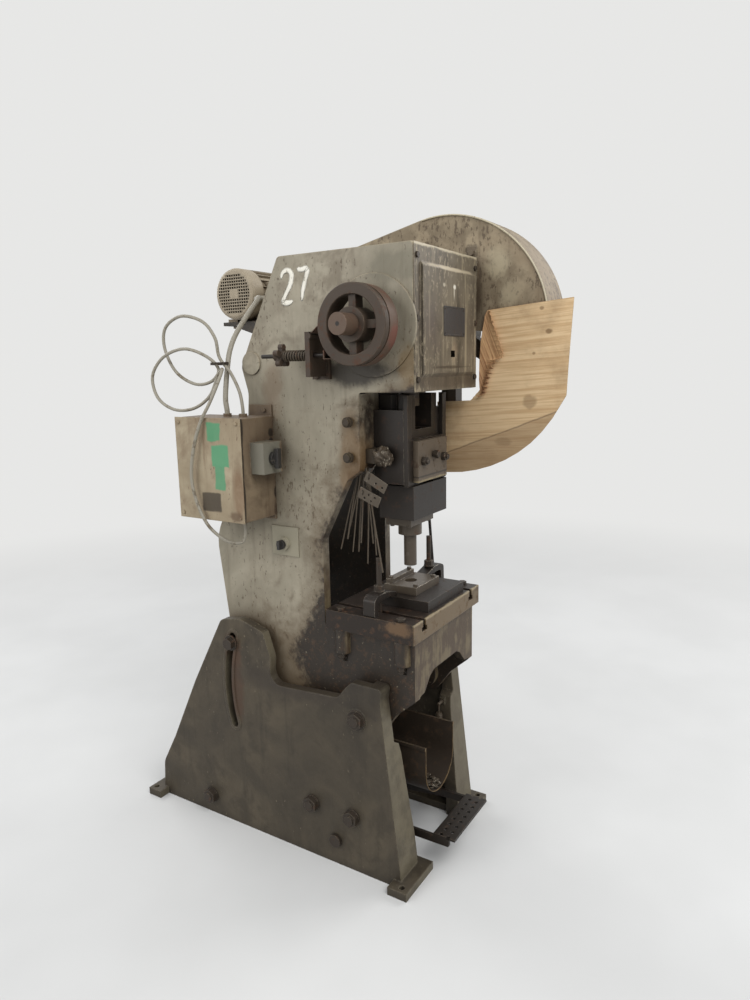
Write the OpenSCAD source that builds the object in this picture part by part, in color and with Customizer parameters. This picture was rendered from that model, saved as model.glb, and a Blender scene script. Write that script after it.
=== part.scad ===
// Open-back inclinable stamping press. Millimetres, +Z up, the front faces -Y, +X is the
// machine's right. The origin is the centre of the four floor bolts, on the floor.

/* [Crank and ram] */
// Crank axis, front to back
crank_y = -417; // [-430:1:-405]
// Crank axis above the floor
crank_z = 1676; // [1660:1:1690]
// Stroke of the ram
stroke = 55; // [40:1:60]
// Diameter of the main journals
journal_d = 60; // [50:1:66]
// Diameter of the crankpin
crankpin_d = 70; // [64:1:76]
// Width of the ram between its guides
ram_w = 168; // [160:1:176]
// Underside of the ram at the top of the stroke
ram_low = 1217; // [1205:1:1230]
// Height of the ram
ram_h = 266; // [250:1:272]
// Thickness of the ram's front flange
flange_t = 14; // [10:1:18]
// Diameter of the tool shank
shank_d = 40; // [32:1:44]
// Depth of the shank hole
shank_h = 60; // [50:1:64]

/* [C-frame] */
// Width over the two cheeks
frame_w = 400; // [390:2:420]
// Thickness of each cheek
cheek_t = 32; // [26:1:38]
// Top of the head
head_top = 1888; // [1870:1:1910]
// Underside of the head
head_low = 1494; // [1488:1:1500]
// Front edge of the cheeks
front_y = -545; // [-560:1:-535]
// Back edge of the head's top
back_y = -91; // [-120:1:-70]
// Wall thickness of the head, the webs and the ribs
wall = 28; // [22:1:32]
// Front of the column, where the guides sit
column_y = -365; // [-370:1:-360]
// Back of the throat
throat_y = -223; // [-240:1:-210]
// Top of the bed
bed_z = 778; // [770:1:786]
// Thickness of the bed
bed_t = 42; // [34:1:50]
// Radius of the hole through the bed
bed_hole_r = 50; // [40:1:60]

/* [Base] */
// Height of the tilt pivot
pivot_z = 519; // [512:1:524]
// Tilt pivot, front to back
pivot_y = -370; // [-376:1:-364]
// Diameter of the pivot shaft
pivot_d = 50; // [42:1:54]
// Width of each leg from its inner face outwards
leg_w = 52; // [50:1:58]
// Gap between a leg's ear and the cheek
leg_gap = 4; // [3:0.5:6]
// Thickness of a leg's web
leg_web = 30; // [24:1:34]
// Radius of the curved slot about the pivot
slot_r = 517; // [510:1:522]
// Width of the curved slot
slot_w = 28; // [26:1:34]
// Angle of the clamp bolt above the pivot with the frame upright
clamp_angle = 17; // [16:0.5:18]
// Backward tilt that the slot allows
tilt_max = 30; // [20:1:30]
// Diameter of the clamp bolts
clamp_d = 24; // [20:1:24]
// How far the floor bolts stand outside the legs
anchor_out = 20; // [18:1:24]
// Half the spacing of the floor bolts, front to back
anchor_y = 531; // [526:1:536]
// Radius of the floor bolt holes
anchor_r = 9; // [7:0.5:10]
// Thickness of the feet
foot_t = 26; // [20:1:32]
// Diameter of the rods that tie the legs together
tie_d = 30; // [24:1:36]

/* [Bolster and die] */
// Overhang of the bolster beyond each cheek
bolster_over = 25; // [22:1:35]
// Thickness of the bolster
bolster_t = 60; // [50:1:66]
// Front edge of the bolster
bolster_y = -552; // [-556:1:-548]
// Depth of the bolster, front to back
bolster_d = 308; // [296:1:316]
// Thickness of the die plate
die_t = 33; // [26:1:38]
// Height of the die block on the die plate
die_block_t = 25; // [20:1:30]
// Diameter of the punch
punch_d = 40; // [30:1:44]
// Height of the punch block
punch_block_t = 102; // [90:1:108]

/* [Drive] */
// Diameter of the flywheel
flywheel_d = 640; // [600:2:660]
// Width of the flywheel's rim
flywheel_w = 110; // [96:1:116]
// Gap between the cheek and the flywheel
flywheel_gap = 42; // [40:1:48]
// Number of flywheel spokes
spokes = 6; // [4:1:8]
// Number of drive belts
belts = 2; // [1:1:3]
// Diameter of the motor pulley
pulley_d = 90; // [80:1:100]
// Motor axis, front to back
motor_y = 250; // [240:1:256]
// Motor axis above the floor
motor_z = 1817; // [1812:1:1822]
// Radius of the motor's body without its fins
motor_r = 76; // [70:1:78]
// Radius of the flywheel guard about the crank
guard_r = 356; // [352:1:366]
// Thickness of the guard's sheet
sheet_t = 2; // [1.5:0.5:3]
// Thickness of the plywood
ply_t = 5; // [4:1:6]

/* [Brake] */
// Diameter of the brake drum
drum_d = 216; // [200:2:224]
// Width of the brake drum
drum_w = 66; // [60:1:70]
// Gap between the cheek and the brake drum
drum_gap = 44; // [40:1:50]

/* [Control gear] */
// Width of the control box, front to back
box_w = 264; // [250:2:270]
// Height of the control box
box_h = 310; // [290:2:320]
// Depth of the control box
box_d = 146; // [130:2:150]

/* [Hidden] */
$fn = 48;
run_gap = 0.08;      // radial clearance of a shaft that turns
seat_gap = 0.05;     // radial clearance of a part that sits fast
slide_gap = 0.3;     // clearance between sliding faces
hw = frame_w / 2;
ci = hw - cheek_t;
ear_x = hw + leg_gap;
leg_x = ear_x + leg_w;
anchor_x = leg_x + anchor_out;
bolster_w = frame_w + 2 * bolster_over;
flywheel_x = hw + flywheel_gap;
throw = stroke / 2;
fly_r = flywheel_d / 2;
clamp_y = pivot_y + slot_r * cos(clamp_angle);
clamp_z = pivot_z + slot_r * sin(clamp_angle);
bed_top = bed_z + bolster_t;
bolster_back = bolster_y + bolster_d;
guard_x = hw + 28;
guard_w = 152;
guard_rear_r = 68;
belt_pitch = 19;
belt_w = 13;
belt_h = 10;
belt_x = flywheel_x + 26;
hump_y = 69;
hump_z = 1572;
heel_y = 217;
heel_z = 1013;
flange_y = crank_y - 64;
gib_front = flange_y + flange_t + slide_gap;
gib_in = ram_w / 2 + slide_gap;
gib_out = 122;
gib_top = 1440;
gib_low = ram_low + 6;
vee = 12;
ball_z = ram_low + 103;
ball_r = 20;
box_x = hw + 6;
box_y = -50;
box_z = 1112;
drum_in = hw + drum_gap;
drum_x = drum_in + drum_w;
boss_h = 6;

tie_places = [[-345, 186], [-190, 186], [260, 70]];
trough_front = -520;
trough_back = -165;
shaft_d = 28;
treadle_y = -280;
treadle_z = 84;
pin_d = 11;
pin_room = pin_d / 2 + 1.5;
link_x = leg_x + 26;
spring_x = hw - 55;
spring_y = -442;
spring_top = 416;
spring_low = 270;
coil_l = 110;
turns = 12;

// Node names, in the order in which the press goes together

// Shared helpers

// Extrudes a (y, z) outline along X
module along_x(x0, x1) {
  translate([x0, 0, 0]) rotate([90, 0, 90]) linear_extrude(x1 - x0) children();
}
// Extrudes an (x, z) outline along Y
module along_y(y0, y1) {
  translate([0, y1, 0]) rotate([90, 0, 0]) linear_extrude(y1 - y0) children();
}
// Round bar along X
module bar_x(d, x0, x1, y, z) {
  translate([x0, y, z]) rotate([0, 90, 0]) cylinder(d = d, h = x1 - x0);
}
// Round bar along Y
module bar_y(d, y0, y1, x, z) {
  translate([x, y1, z]) rotate([90, 0, 0]) cylinder(d = d, h = y1 - y0);
}
// Box from its low corner to its high corner
module block(low, high) {
  translate(low) cube(high - low);
}
// The children and their mirror image in the centre plane
module both_sides() {
  children();
  mirror([1, 0, 0]) children();
}
// Hexagon nut or bolt head along X, from x0 outwards by h
module hex_x(across, x0, h, y, z) {
  translate([x0, y, z]) rotate([0, 90, 0]) cylinder(d = across / cos(30), h = h, $fn = 6);
}
module hex_y(across, y0, h, x, z) {
  translate([x, y0 + h, z]) rotate([90, 0, 0]) cylinder(d = across / cos(30), h = h, $fn = 6);
}

function unit(v) = v / norm(v);
// Points of an arc about c from angle a to angle b
function arc(c, r, a, b, n) = [for (i = [0:n]) c + r * [cos(a + (b - a) * i / n), sin(a + (b - a) * i / n)]];
// One corner of an outline, rounded to radius r
function corner(a, b, c, r) =
  r < 0.5 ? [b] :
  let (u = unit(a - b), v = unit(c - b), h = acos(max(-1, min(1, u * v))) / 2)
  let (m = b + unit(u + v) * r / sin(h), p = b + u * r / tan(h) - m, q = b + v * r / tan(h) - m)
  let (n = max(2, ceil((90 - h) / 9)))
  [for (i = [0:n]) let (w = unit(p * (n - i) / n + q * i / n + 1e-6 * (p + q))) m + w * r];
// An outline with rounded corners from points [y, z, radius]
function rounded(p) = [for (i = [0:len(p) - 1])
  let (n = len(p), a = p[(i + n - 1) % n], b = p[i], c = p[(i + 1) % n])
  each corner([a[0], a[1]], [b[0], b[1]], [c[0], c[1]], b[2])];
// Normal angle of the upper outer tangent from circle 1 to circle 2
function tangent_angle(c1, r1, c2, r2) =
  atan2(c2[1] - c1[1], c2[0] - c1[0]) + acos((r1 - r2) / norm(c2 - c1));
// Normal angle of the lower outer tangent
function lower_tangent(c1, r1, c2, r2) =
  atan2(c2[1] - c1[1], c2[0] - c1[0]) - acos((r1 - r2) / norm(c2 - c1));
// Closed outline of a belt round two pulleys
function loop_outline(c1, r1, c2, r2) =
  let (t = tangent_angle(c1, r1, c2, r2), l = lower_tangent(c1, r1, c2, r2))
  concat(arc(c1, r1, t, 360 + l, 40), arc(c2, r2, l, t, 12));

crank_c = [crank_y, crank_z];
motor_c = [motor_y, motor_z];
pivot_c = [pivot_y, pivot_z];

// Base

function leg_outline() = rounded([[-anchor_y + 12, 0, 0], [-513, 62, 20], [-452, 590, 10],
  [-460, 634, 14], [-352, 634, 10], [-330, 612, 10], [-300, 574, 24], [-32, 557, 40],
  [-40, 645, 30], [-12, 730, 20], [83, 758, 30], [168, 744, 30], [310, 492, 80],
  [432, 250, 80], [501, 130, 60], [anchor_y - 20, 0, 0]]);

// Band of the curved slot in the (y, z) plane, grown by g
module slot_band(g) {
  low = clamp_angle - tilt_max - 2.6;
  high = clamp_angle + 2.6;
  r = slot_w / 2 + g;
  top = pivot_c + slot_r * [cos(high), sin(high)];
  end = pivot_c + slot_r * [cos(low), sin(low)];
  polygon(concat(arc(pivot_c, slot_r + r, low, high, 20), arc(top, r, high + 15, high + 165, 10),
    arc(pivot_c, slot_r - r, high, low, 20), arc(end, r, low + 195, low + 345, 10)));
}

// One cast leg, drawn on the +X side: web, flanges, ears and feet
module leg() {
  difference() {
    union() {
      along_x(leg_x - leg_web, leg_x) polygon(leg_outline());
      intersection() {
        along_x(leg_x - 106, leg_x) polygon(leg_outline());
        along_x(leg_x - 116, leg_x + 5) polygon([[-600, -10], [-600, 700], [-416, 700], [-412, 590], [-468, 62],
          [-468, -10]]);
        along_y(-600, -400) polygon([[leg_x, 0], [leg_x - 126, 0], [leg_x - 110, 80],
          [leg_x - 84, 400], [leg_x - 76, 434], [ear_x, 448], [ear_x, 660], [leg_x, 660]]);
      }
      intersection() {
        along_x(leg_x - 106, leg_x) polygon(leg_outline());
        along_x(leg_x - 116, leg_x + 5) polygon([[600, -10], [600, 500], [272, 500], [280, 478], [402, 236],
          [468, 122], [478, -10]]);
        along_y(200, 600) polygon([[leg_x, 0], [leg_x - 100, 0], [leg_x - 60, 130],
          [ear_x, 260], [ear_x, 500], [leg_x, 500]]);
      }
      along_x(ear_x, leg_x - 1) translate(pivot_c) circle(r = 62);
      intersection() {
        along_x(ear_x, leg_x - 1) slot_band(26);
        along_x(0, leg_x) polygon(leg_outline());
      }
      along_x(leg_x - 1, leg_x + 3) slot_band(11);
      along_x(leg_x - 1, leg_x + 3) translate(pivot_c) circle(r = 34);
      block([leg_x - 90, -anchor_y + 12, 0], [leg_x - 1, anchor_y - 20, foot_t]);
      for (s = [-1, 1])
        block([leg_x - 132, s * anchor_y - (s < 0 ? 26 : 40), 0],
          [anchor_x + 20, s * anchor_y + (s < 0 ? 40 : 20), foot_t]);
    }
    along_x(ear_x - 5, leg_x + 5) slot_band(0);
    bar_x(pivot_d + 2 * seat_gap, ear_x - 5, leg_x + 5, pivot_y, pivot_z);
    for (s = [-1, 1]) translate([anchor_x, s * anchor_y, -1]) cylinder(r = anchor_r, h = foot_t + 2);
    for (p = tie_places) bar_x(tie_d + 2 * seat_gap, 0, leg_x + 5, p[0], p[1]);
    bar_x(shaft_d + 2 * run_gap, 0, leg_x + 5, treadle_y, treadle_z);
  }
}

module base_left_leg() { color("#5f5d50") mirror([1, 0, 0]) leg(); }
module base_right_leg() {
  color("#5f5d50") {
    leg();
    block([spring_x + 25, spring_y - 10, spring_top - 12], [leg_x - 60, spring_y + 10, spring_top + 12]);
  }
}

// Three tie rods between the legs, with a washer and a nut at each end
module tie_rods() {
  color("#4f4a40") for (p = tie_places) {
    bar_x(tie_d, -leg_x - 26, leg_x + 26, p[0], p[1]);
    both_sides() difference() {
      union() {
        bar_x(tie_d + 24, leg_x, leg_x + 4, p[0], p[1]);
        hex_x(tie_d + 16, leg_x + 4, 18, p[0], p[1]);
        bar_x(tie_d + 14, leg_x - leg_web - 8, leg_x - leg_web, p[0], p[1]);
      }
      bar_x(tie_d - 1, 0, leg_x + 30, p[0], p[1]);
    }
  }
}

// Shaft that the C-frame tilts on, with a washer and a nut outside each leg
module pivot_shaft() {
  color("#3f3b34") {
    bar_x(pivot_d, -leg_x - 3, leg_x + 3, pivot_y, pivot_z);
    both_sides() {
      bar_x(64, leg_x + 3, leg_x + 7, pivot_y, pivot_z);
      bar_x(30, leg_x + 3, leg_x + 23, pivot_y, pivot_z);
      hex_x(46, leg_x + 7, 12, pivot_y, pivot_z);
    }
  }
}

// Treadle: shaft, pedal frame and its rocker outside the right leg
rocker_x = leg_x + 24;
rocker_l = treadle_y - pivot_y;
treadle_deg = 6;
module treadle_shaft() {
  color("#4a443a") {
    bar_x(shaft_d, -leg_x - 12, rocker_x + 14, treadle_y, treadle_z);
    mirror([1, 0, 0]) bar_x(shaft_d + 14, leg_x + 0.5, leg_x + 12, treadle_y, treadle_z);
  }
}
arm_x = 118;
pedal_y = -632;
module treadle() {
  color("#57503f") {
    both_sides() difference() {
      union() {
        bar_x(50, arm_x - 7, arm_x + 7, treadle_y, treadle_z);
        along_x(arm_x - 5, arm_x + 5) polygon(rounded([[treadle_y, treadle_z + 16, 0],
          [-470, treadle_z + 34, 60], [pedal_y + 20, treadle_z + 34, 6], [pedal_y + 20, treadle_z + 10, 6],
          [-470, treadle_z + 8, 60], [treadle_y, treadle_z - 16, 0]]));
      }
      bar_x(shaft_d + 2 * seat_gap, 0, arm_x + 20, treadle_y, treadle_z);
    }
    difference() {
      block([-arm_x - 5, pedal_y, treadle_z + 34], [arm_x + 5, pedal_y + 74, treadle_z + 42]);
      for (i = [-4:4], j = [0:1])
        translate([i * 30 + 4 * j, pedal_y + 24 + 26 * j, 0]) cylinder(d = 12, h = 300, $fn = 24);
    }
    difference() {
      union() {
        bar_x(50, leg_x + 1, rocker_x, treadle_y, treadle_z);
        along_x(rocker_x - 8, rocker_x) polygon(rounded([[treadle_y, treadle_z + 14, 0],
          [pivot_y - 16, treadle_z + 10, 8], [pivot_y - 16, treadle_z - 12, 8], [treadle_y, treadle_z - 14, 0]]));
        bar_x(pin_d, rocker_x - 6, rocker_x + 12, pivot_y, treadle_z);
      }
      bar_x(shaft_d + 2 * seat_gap, 0, rocker_x + 20, treadle_y, treadle_z);
    }
    bar_x(18, arm_x, spring_x + 10, spring_y, treadle_z + 20);
  }
}

// Return spring: a hook, a close-wound coil and the long rod down to the treadle
module treadle_spring() {
  color("#6b6557") {
    translate([spring_x, spring_y, treadle_z + 29]) cylinder(d = 6, h = spring_low - treadle_z - 29);
    translate([spring_x, spring_y, spring_low]) for (i = [0:turns - 1])
      translate([0, 0, i * coil_l / turns]) rotate_extrude() translate([8, 0]) square([4, coil_l / turns]);
    for (z = [spring_low - 4, spring_low + coil_l]) translate([spring_x, spring_y, z]) cylinder(d = 20, h = 4);
    translate([spring_x, spring_y, spring_low + coil_l]) cylinder(d = 6, h = spring_top - spring_low - coil_l);
    bar_x(10, spring_x - 5, spring_x + 25, spring_y, spring_top);
  }
}

// Link from the rocker up to the pull rod, on the pivot axis
module treadle_link() {
  color("#4a443a") difference() {
    union() {
      block([link_x, pivot_y - 6, treadle_z], [link_x + 6, pivot_y + 6, pivot_z]);
      bar_x(30, link_x, link_x + 6, pivot_y, treadle_z);
      bar_x(38, link_x, link_x + 6, pivot_y - 3.5, pivot_z + 1);
    }
    bar_x(pin_d + 2.6, link_x - 5, link_x + 20, pivot_y, treadle_z);
    // The upper pin wanders in its slot when the frame is inclined
    along_x(link_x - 5, link_x + 20) translate([pivot_y, pivot_z])
      polygon(rounded([[-pin_d - pin_room - 2, -pin_room, 6], [pin_room, -pin_room, 6],
        [pin_room, pin_room + 2, 6], [-pin_d - pin_room - 2, pin_room + 2, 6]]));
  }
}

// Half-round sheet trough for the scrap, lying on the front tie rods
trough_r = 95;
trough_z = tie_places[0][1] + tie_d / 2 + trough_r + sheet_t + 0.2;
trough_rim = trough_z + 92;
module scrap_trough() {
  color("#5b5348") {
    along_y(trough_front, trough_back) difference() {
      union() {
        translate([0, trough_z]) circle(r = trough_r + sheet_t);
        translate([-trough_r - sheet_t, trough_z]) square([2 * trough_r + 2 * sheet_t, trough_rim - trough_z]);
      }
      translate([0, trough_z]) circle(r = trough_r);
      translate([-trough_r, trough_z]) square([2 * trough_r, 200]);
    }
    along_y(trough_back - sheet_t, trough_back) union() {
      translate([0, trough_z]) circle(r = trough_r);
      translate([-trough_r, trough_z]) square([2 * trough_r, trough_rim - trough_z]);
    }
    both_sides() block([trough_r + sheet_t, trough_front, trough_rim - 10],
      [trough_r + sheet_t + 5, trough_back, trough_rim]);
  }
}

// C-frame

function cheek_outline() = rounded([[front_y, head_top, 6], [back_y, head_top, 14],
  [hump_y, hump_z, 26], [45, 1490, 60], [60, 1330, 160], [heel_y, heel_z, 120], [182, 737, 90],
  [178, 622, 26], [70, 545, 60], [-290, 494, 50], [-328, 452, 34], [-416, 452, 40],
  [-474, 533, 12], [front_y + 5, 591, 6], [front_y + 5, bed_z, 3], [throat_y, bed_z, 8],
  [throat_y, 1052, 60], [-320, 1238, 24], [column_y, 1268, 16], [column_y, head_low, 12],
  [front_y, head_low, 4]]);

// Strip between the cheeks along an outline given as [y, z] points
module strip(points) {
  along_x(-ci - 1, ci + 1) polygon(points);
}

module frame_casting() {
  color("#8f9483") difference() {
    union() {
      both_sides() {
        along_x(ci, hw) polygon(cheek_outline());
        bar_x(124, ci - 24, ci + 1, crank_y, crank_z);
        bar_x(116, ci - 20, ear_x - slide_gap, pivot_y, pivot_z);
        bar_x(72, ci - 12, ci + 1, clamp_y, clamp_z);
        for (y = boss_places) difference() {
          translate([hw, y, bed_z - 76]) cylinder(r = 26, h = 76);
          block([0, y - 30, 0], [hw - 1, y + 30, bed_z + 1]);
        }
        bar_x(70, hw - 1, hw + boss_h, hump_y - 44, hump_z + 10);
      }
      mirror([1, 0, 0]) bar_x(280, hw - 1, hw + boss_h, crank_y, crank_z);
      bar_x(180, hw - 1, hw + boss_h, crank_y, crank_z);
      bar_x(36, hw - 1, trip_x - slide_gap, trip_c[0], trip_c[1]);
      bar_x(16, hw - 1, trip_x + 16, trip_c[0], trip_c[1]);
      bar_x(76, -ci, ci, pivot_y, pivot_z);
      bar_x(60, -ci, ci, clamp_y, clamp_z);
      strip([[front_y, head_top], [back_y - 4, head_top], [back_y - 4, head_top - wall], [front_y, head_top - wall]]);
      strip([[back_y - 14, head_top - 2], [back_y - 1, head_top - 2], [hump_y - 6, hump_z + 10],
        [hump_y - 12, hump_z - 8], [hump_y - 40, hump_z - 4], [back_y - wall - 6, head_top - 20]]);
      strip([[column_y, head_low + wall], [40, head_low + wall], [28, head_low], [column_y, head_low]]);
      strip([[hump_y - 12, hump_z + 2], [38, head_low], [8, head_low], [hump_y - 44, hump_z]]);
      strip([[column_y, 1270], [column_y, head_low + 2], [column_y + wall, head_low + 2], [column_y + wall, 1250],
        [-340, 1256]]);
      strip([[front_y + 5, bed_z], [-170, bed_z], [-170, bed_z - bed_t], [front_y + 5, bed_z - bed_t]]);
      strip([[throat_y + wall + 20, bed_z - 10], [throat_y + wall, 540], [throat_y, 530], [throat_y, bed_z - 10]]);
      strip([[-200, 541], [66, 571], [60, 546], [-200, 509]]);
      strip([[152, 1000], [178, 760], [178, 735], [150, 735], [126, 1000]]);
      along_y(front_y + 5, front_y + 5 + wall) polygon([[-hw + 1, bed_z - 10], [-hw + 1, 591],
        [-hw + 60, 600], [-hw + 96, 640], [-hw + 122, 652], [hw - 122, 652], [hw - 96, 640],
        [hw - 60, 600], [hw - 1, 591], [hw - 1, bed_z - 10]]);
    }
    bar_x(bush_d + 2 * seat_gap, -hw - 20, hw + 20, crank_y, crank_z);
    bar_x(pivot_d + 2 * run_gap, -hw - 20, hw + 20, pivot_y, pivot_z);
    bar_x(clamp_d + 2 * seat_gap, -hw - 20, hw + 20, clamp_y, clamp_z);
    translate([0, crank_y, bed_z - bed_t - 1]) cylinder(r = bed_hole_r, h = bed_t + 2);
    block([-gib_in - 6, column_y - 2, 1200], [gib_in + 6, column_y + wall + 2, head_low - 1]);
    block([-rod_hw - 12, column_y - 2, head_low - 2], [rod_hw + 12, column_y + 14, head_low + wall + 2]);
    both_sides() for (y = boss_places) translate([bolt_x, y, 0]) {
      translate([0, 0, bed_z - 80]) cylinder(d = 17, h = 90);
      translate([0, 0, bed_z - 106]) cylinder(d = 30, h = 30);
    }
    both_sides() for (z = gib_bolt_z)
      bar_y(12.2, column_y - 1, column_y + wall + 1, (gib_in + gib_out) / 2 + 4, z);
  }
}
bush_d = journal_d + 16;
boss_places = [-500, -290];
bolt_x = hw + 8;
gib_bolt_z = [1290, 1350, 1410];

// Bolts that clamp the frame in the curved slots
module clamp_bolts() {
  color("#3f3a33") both_sides() {
    bar_x(clamp_d, ci - 10, leg_x + 12, clamp_y, clamp_z);
    difference() {
      bar_x(52, leg_x + 3.3, leg_x + 9, clamp_y, clamp_z);
      bar_x(clamp_d - 1, ci, leg_x + 20, clamp_y, clamp_z);
    }
    hex_x(36, leg_x + 9, 16, clamp_y, clamp_z);
  }
}

// Bolster plate with two T-slots and a stepped hole over the bed hole
module bolster() {
  color("#6d5a45") difference() {
    block([-bolster_w / 2, bolster_y, bed_z], [bolster_w / 2, bolster_back, bed_top]);
    translate([0, crank_y, bed_z - 1]) cylinder(r = bed_hole_r - 8, h = bolster_t + 2);
    both_sides() {
      block([slot_x - 9, bolster_y - 1, bed_top - 34], [slot_x + 9, bolster_back + 1, bed_top + 1]);
      block([slot_x - 16, bolster_y - 1, bed_top - 34], [slot_x + 16, bolster_back + 1, bed_top - 20]);
      for (y = boss_places) translate([bolt_x, y, bed_z - 1]) cylinder(d = 17, h = bolster_t + 2);
    }
  }
}
slot_x = hw - 40;

// Bolster bolts, with a nut under each cast boss
module bolster_bolts() {
  color("#4a3f33") both_sides() for (y = boss_places) {
    translate([bolt_x, y, bed_z - 100]) cylinder(d = 16, h = bolster_t + 100);
    translate([bolt_x, y, bed_top]) cylinder(d = 24 / cos(30), h = 10, $fn = 6);
    translate([bolt_x, y, bed_z - 90]) cylinder(d = 24 / cos(30), h = 14, $fn = 6);
  }
}

// Pressed sheet over the head's open front
module front_cover() {
  color("#77706a") difference() {
    union() {
      block([-hw + 1, front_y - 3.5, head_low + 1], [hw - 1, front_y, head_top - 1]);
      along_x(panel_x[0], panel_x[1]) polygon([[front_y - 3, panel_z[1]], [front_y - 12, panel_z[1] - 12],
        [front_y - 12, panel_z[0] + 12], [front_y - 3, panel_z[0]]]);
    }
    along_x(panel_x[0] + 4, panel_x[1] - 4) polygon([[front_y + 1, panel_z[1] - 2],
      [front_y - 9.5, panel_z[1] - 13], [front_y - 9.5, panel_z[0] + 13], [front_y + 1, panel_z[0] + 2]]);
    block([2, front_y - 20, 1588], [32, front_y + 1, 1607]);
    for (p = cover_screw_places) bar_y(8.4, front_y - 20, front_y + 1, p[0], p[1]);
  }
}
panel_x = [-hw + 36, hw - 34];
panel_z = [1532, 1842];
cover_screw_places = [for (x = [-hw + 16, hw - 16], z = [head_low + 34, (head_low + head_top) / 2,
  head_top - 34]) [x, z]];
module cover_screws() {
  color("#3a3733") for (p = cover_screw_places) {
    bar_y(16, front_y - 9, front_y - 3.5, p[0], p[1]);
    bar_y(8, front_y - 4, front_y, p[0], p[1]);
  }
}

// Bronze bushes that carry the crankshaft
module crank_bushes() {
  color("#9a7b45") both_sides() difference() {
    bar_x(bush_d, ci - 24, hw + boss_h, crank_y, crank_z);
    bar_x(journal_d + 2 * run_gap, 0, hw + 20, crank_y, crank_z);
  }
}

// Guide strips with a vee ridge that the ram runs on
module gibs() {
  color("#5c554a") both_sides() difference() {
    union() {
      block([gib_in, gib_front, gib_low], [gib_out, column_y, gib_top]);
      translate([0, 0, gib_low]) linear_extrude(gib_top - gib_low)
        polygon([[gib_in + 1, crank_y - vee], [gib_in - vee, crank_y], [gib_in + 1, crank_y + vee]]);
    }
    for (z = gib_bolt_z) {
      bar_y(12.2, gib_front - 1, column_y + 1, (gib_in + gib_out) / 2 + 4, z);
      bar_y(20, gib_front - 1, gib_front + 12, (gib_in + gib_out) / 2 + 4, z);
    }
  }
}
module gib_bolts() {
  color("#45403a") both_sides() for (z = gib_bolt_z) {
    bar_y(12, gib_front + 12, column_y + wall + 14, (gib_in + gib_out) / 2 + 4, z);
    bar_y(18, gib_front + 0.5, gib_front + 12, (gib_in + gib_out) / 2 + 4, z);
    hex_y(19, column_y + wall, 10, (gib_in + gib_out) / 2 + 4, z);
  }
}

// Screw-down grease cups on the left cheek, and the greased stop block on the column
module grease_cups() {
  color("#6a5634") {
    for (z = [1308, 1410]) mirror([1, 0, 0]) {
      bar_x(14, hw, hw + 9, column_y + 29, z);
      bar_x(30, hw + 9, hw + 22, column_y + 29, z);
      bar_x(22, hw + 22, hw + 27, column_y + 29, z);
    }
    difference() {
      block([-168, column_y - 34, 1288], [-126, column_y, 1330]);
      bar_y(14, column_y - 40, column_y - 10, -147, 1309);
    }
    bar_y(13.6, column_y - 58, column_y - 10, -147, 1309);
    hex_y(20, column_y - 48, 14, -147, 1309);
  }
}

// Crank and ram

web_in = 38;
web_out = 62;
shaft_left = drum_x + 60;
shaft_right = flywheel_x + 152;
module crankshaft() {
  color("#6e6a62") {
    difference() {
      bar_x(journal_d, -hw - 20, -web_out + 1, crank_y, crank_z);
      bar_x(8, -shaft_left - 1, -shaft_left + 12, crank_y, crank_z);
    }
    bar_x(journal_d - 2, -shaft_left, -hw - 19, crank_y, crank_z);
    bar_x(journal_d, web_out - 1, shaft_right, crank_y, crank_z);
    bar_x(crankpin_d, -web_in - 1, web_in + 1, crank_y, crank_z + throw);
    both_sides() along_x(web_in, web_out) {
      translate(crank_c) circle(r = journal_d / 2 + 22);
      translate([crank_y, crank_z + throw]) circle(r = crankpin_d / 2 + 14);
      polygon([[crank_y - 50, crank_z], [crank_y + 50, crank_z], [crank_y + 48, crank_z + throw],
        [crank_y - 48, crank_z + throw]]);
    }
  }
}

// Keyed collar that the trip lever stops
module clutch_collar() {
  color("#5a564e") difference() {
    union() {
      bar_x(112, hw + boss_h + 1, hw + boss_h + 24, crank_y, crank_z);
      along_x(hw + boss_h + 3, hw + boss_h + 21) polygon([[crank_y + 2, crank_z - 50],
        [crank_y + 2, crank_z - 70], [crank_y + 22, crank_z - 68], [crank_y + 44, crank_z - 40]]);
    }
    bar_x(journal_d + 2 * seat_gap, 0, hw + 60, crank_y, crank_z);
  }
}

// Four-spoked drum on the left end of the crankshaft
rim_step = 4;
module brake_drum() {
  color("#4a3c34") mirror([1, 0, 0]) difference() {
    union() {
      translate([0, crank_y, crank_z]) rotate([0, 90, 0]) rotate_extrude($fn = 96)
        polygon([[82, drum_in], [drum_d / 2 - 6, drum_in], [drum_d / 2 - 6, drum_x - 18],
          [drum_d / 2, drum_x - 18], [drum_d / 2, drum_x - 2], [drum_d / 2 - 2, drum_x],
          [80, drum_x], [78, drum_x - 2], [78, drum_x - 18], [82, drum_x - 22]]);
      bar_x(92, drum_in + 6, drum_x + 4, crank_y, crank_z);
      for (a = [0:90:270]) translate([0, crank_y, crank_z]) rotate([a, 0, 0])
        block([drum_in + 20, -11, 40], [drum_x - 10, 11, 80]);
    }
    bar_x(journal_d - 2 + 2 * seat_gap, 0, drum_x + 20, crank_y, crank_z);
  }
}
band_w = 40;
band_x = drum_in + 3;
lining_r = drum_d / 2 - 6 + 0.2;
// Arc band about the crank, in (y, z), from angle a to b
module band_arc(r0, r1, a, b) {
  intersection() {
    difference() {
      translate(crank_c) circle(r = r1);
      translate(crank_c) circle(r = r0);
    }
    polygon(concat([crank_c], arc(crank_c, 2 * r1, a, b, 12)));
  }
}
band_from = 8;
band_to = 306;
module brake_lining() {
  color("#5b4a3c") mirror([1, 0, 0]) along_x(band_x, band_x + band_w)
    band_arc(lining_r, lining_r + 4, band_from + 4, band_to - 4);
}
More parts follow.
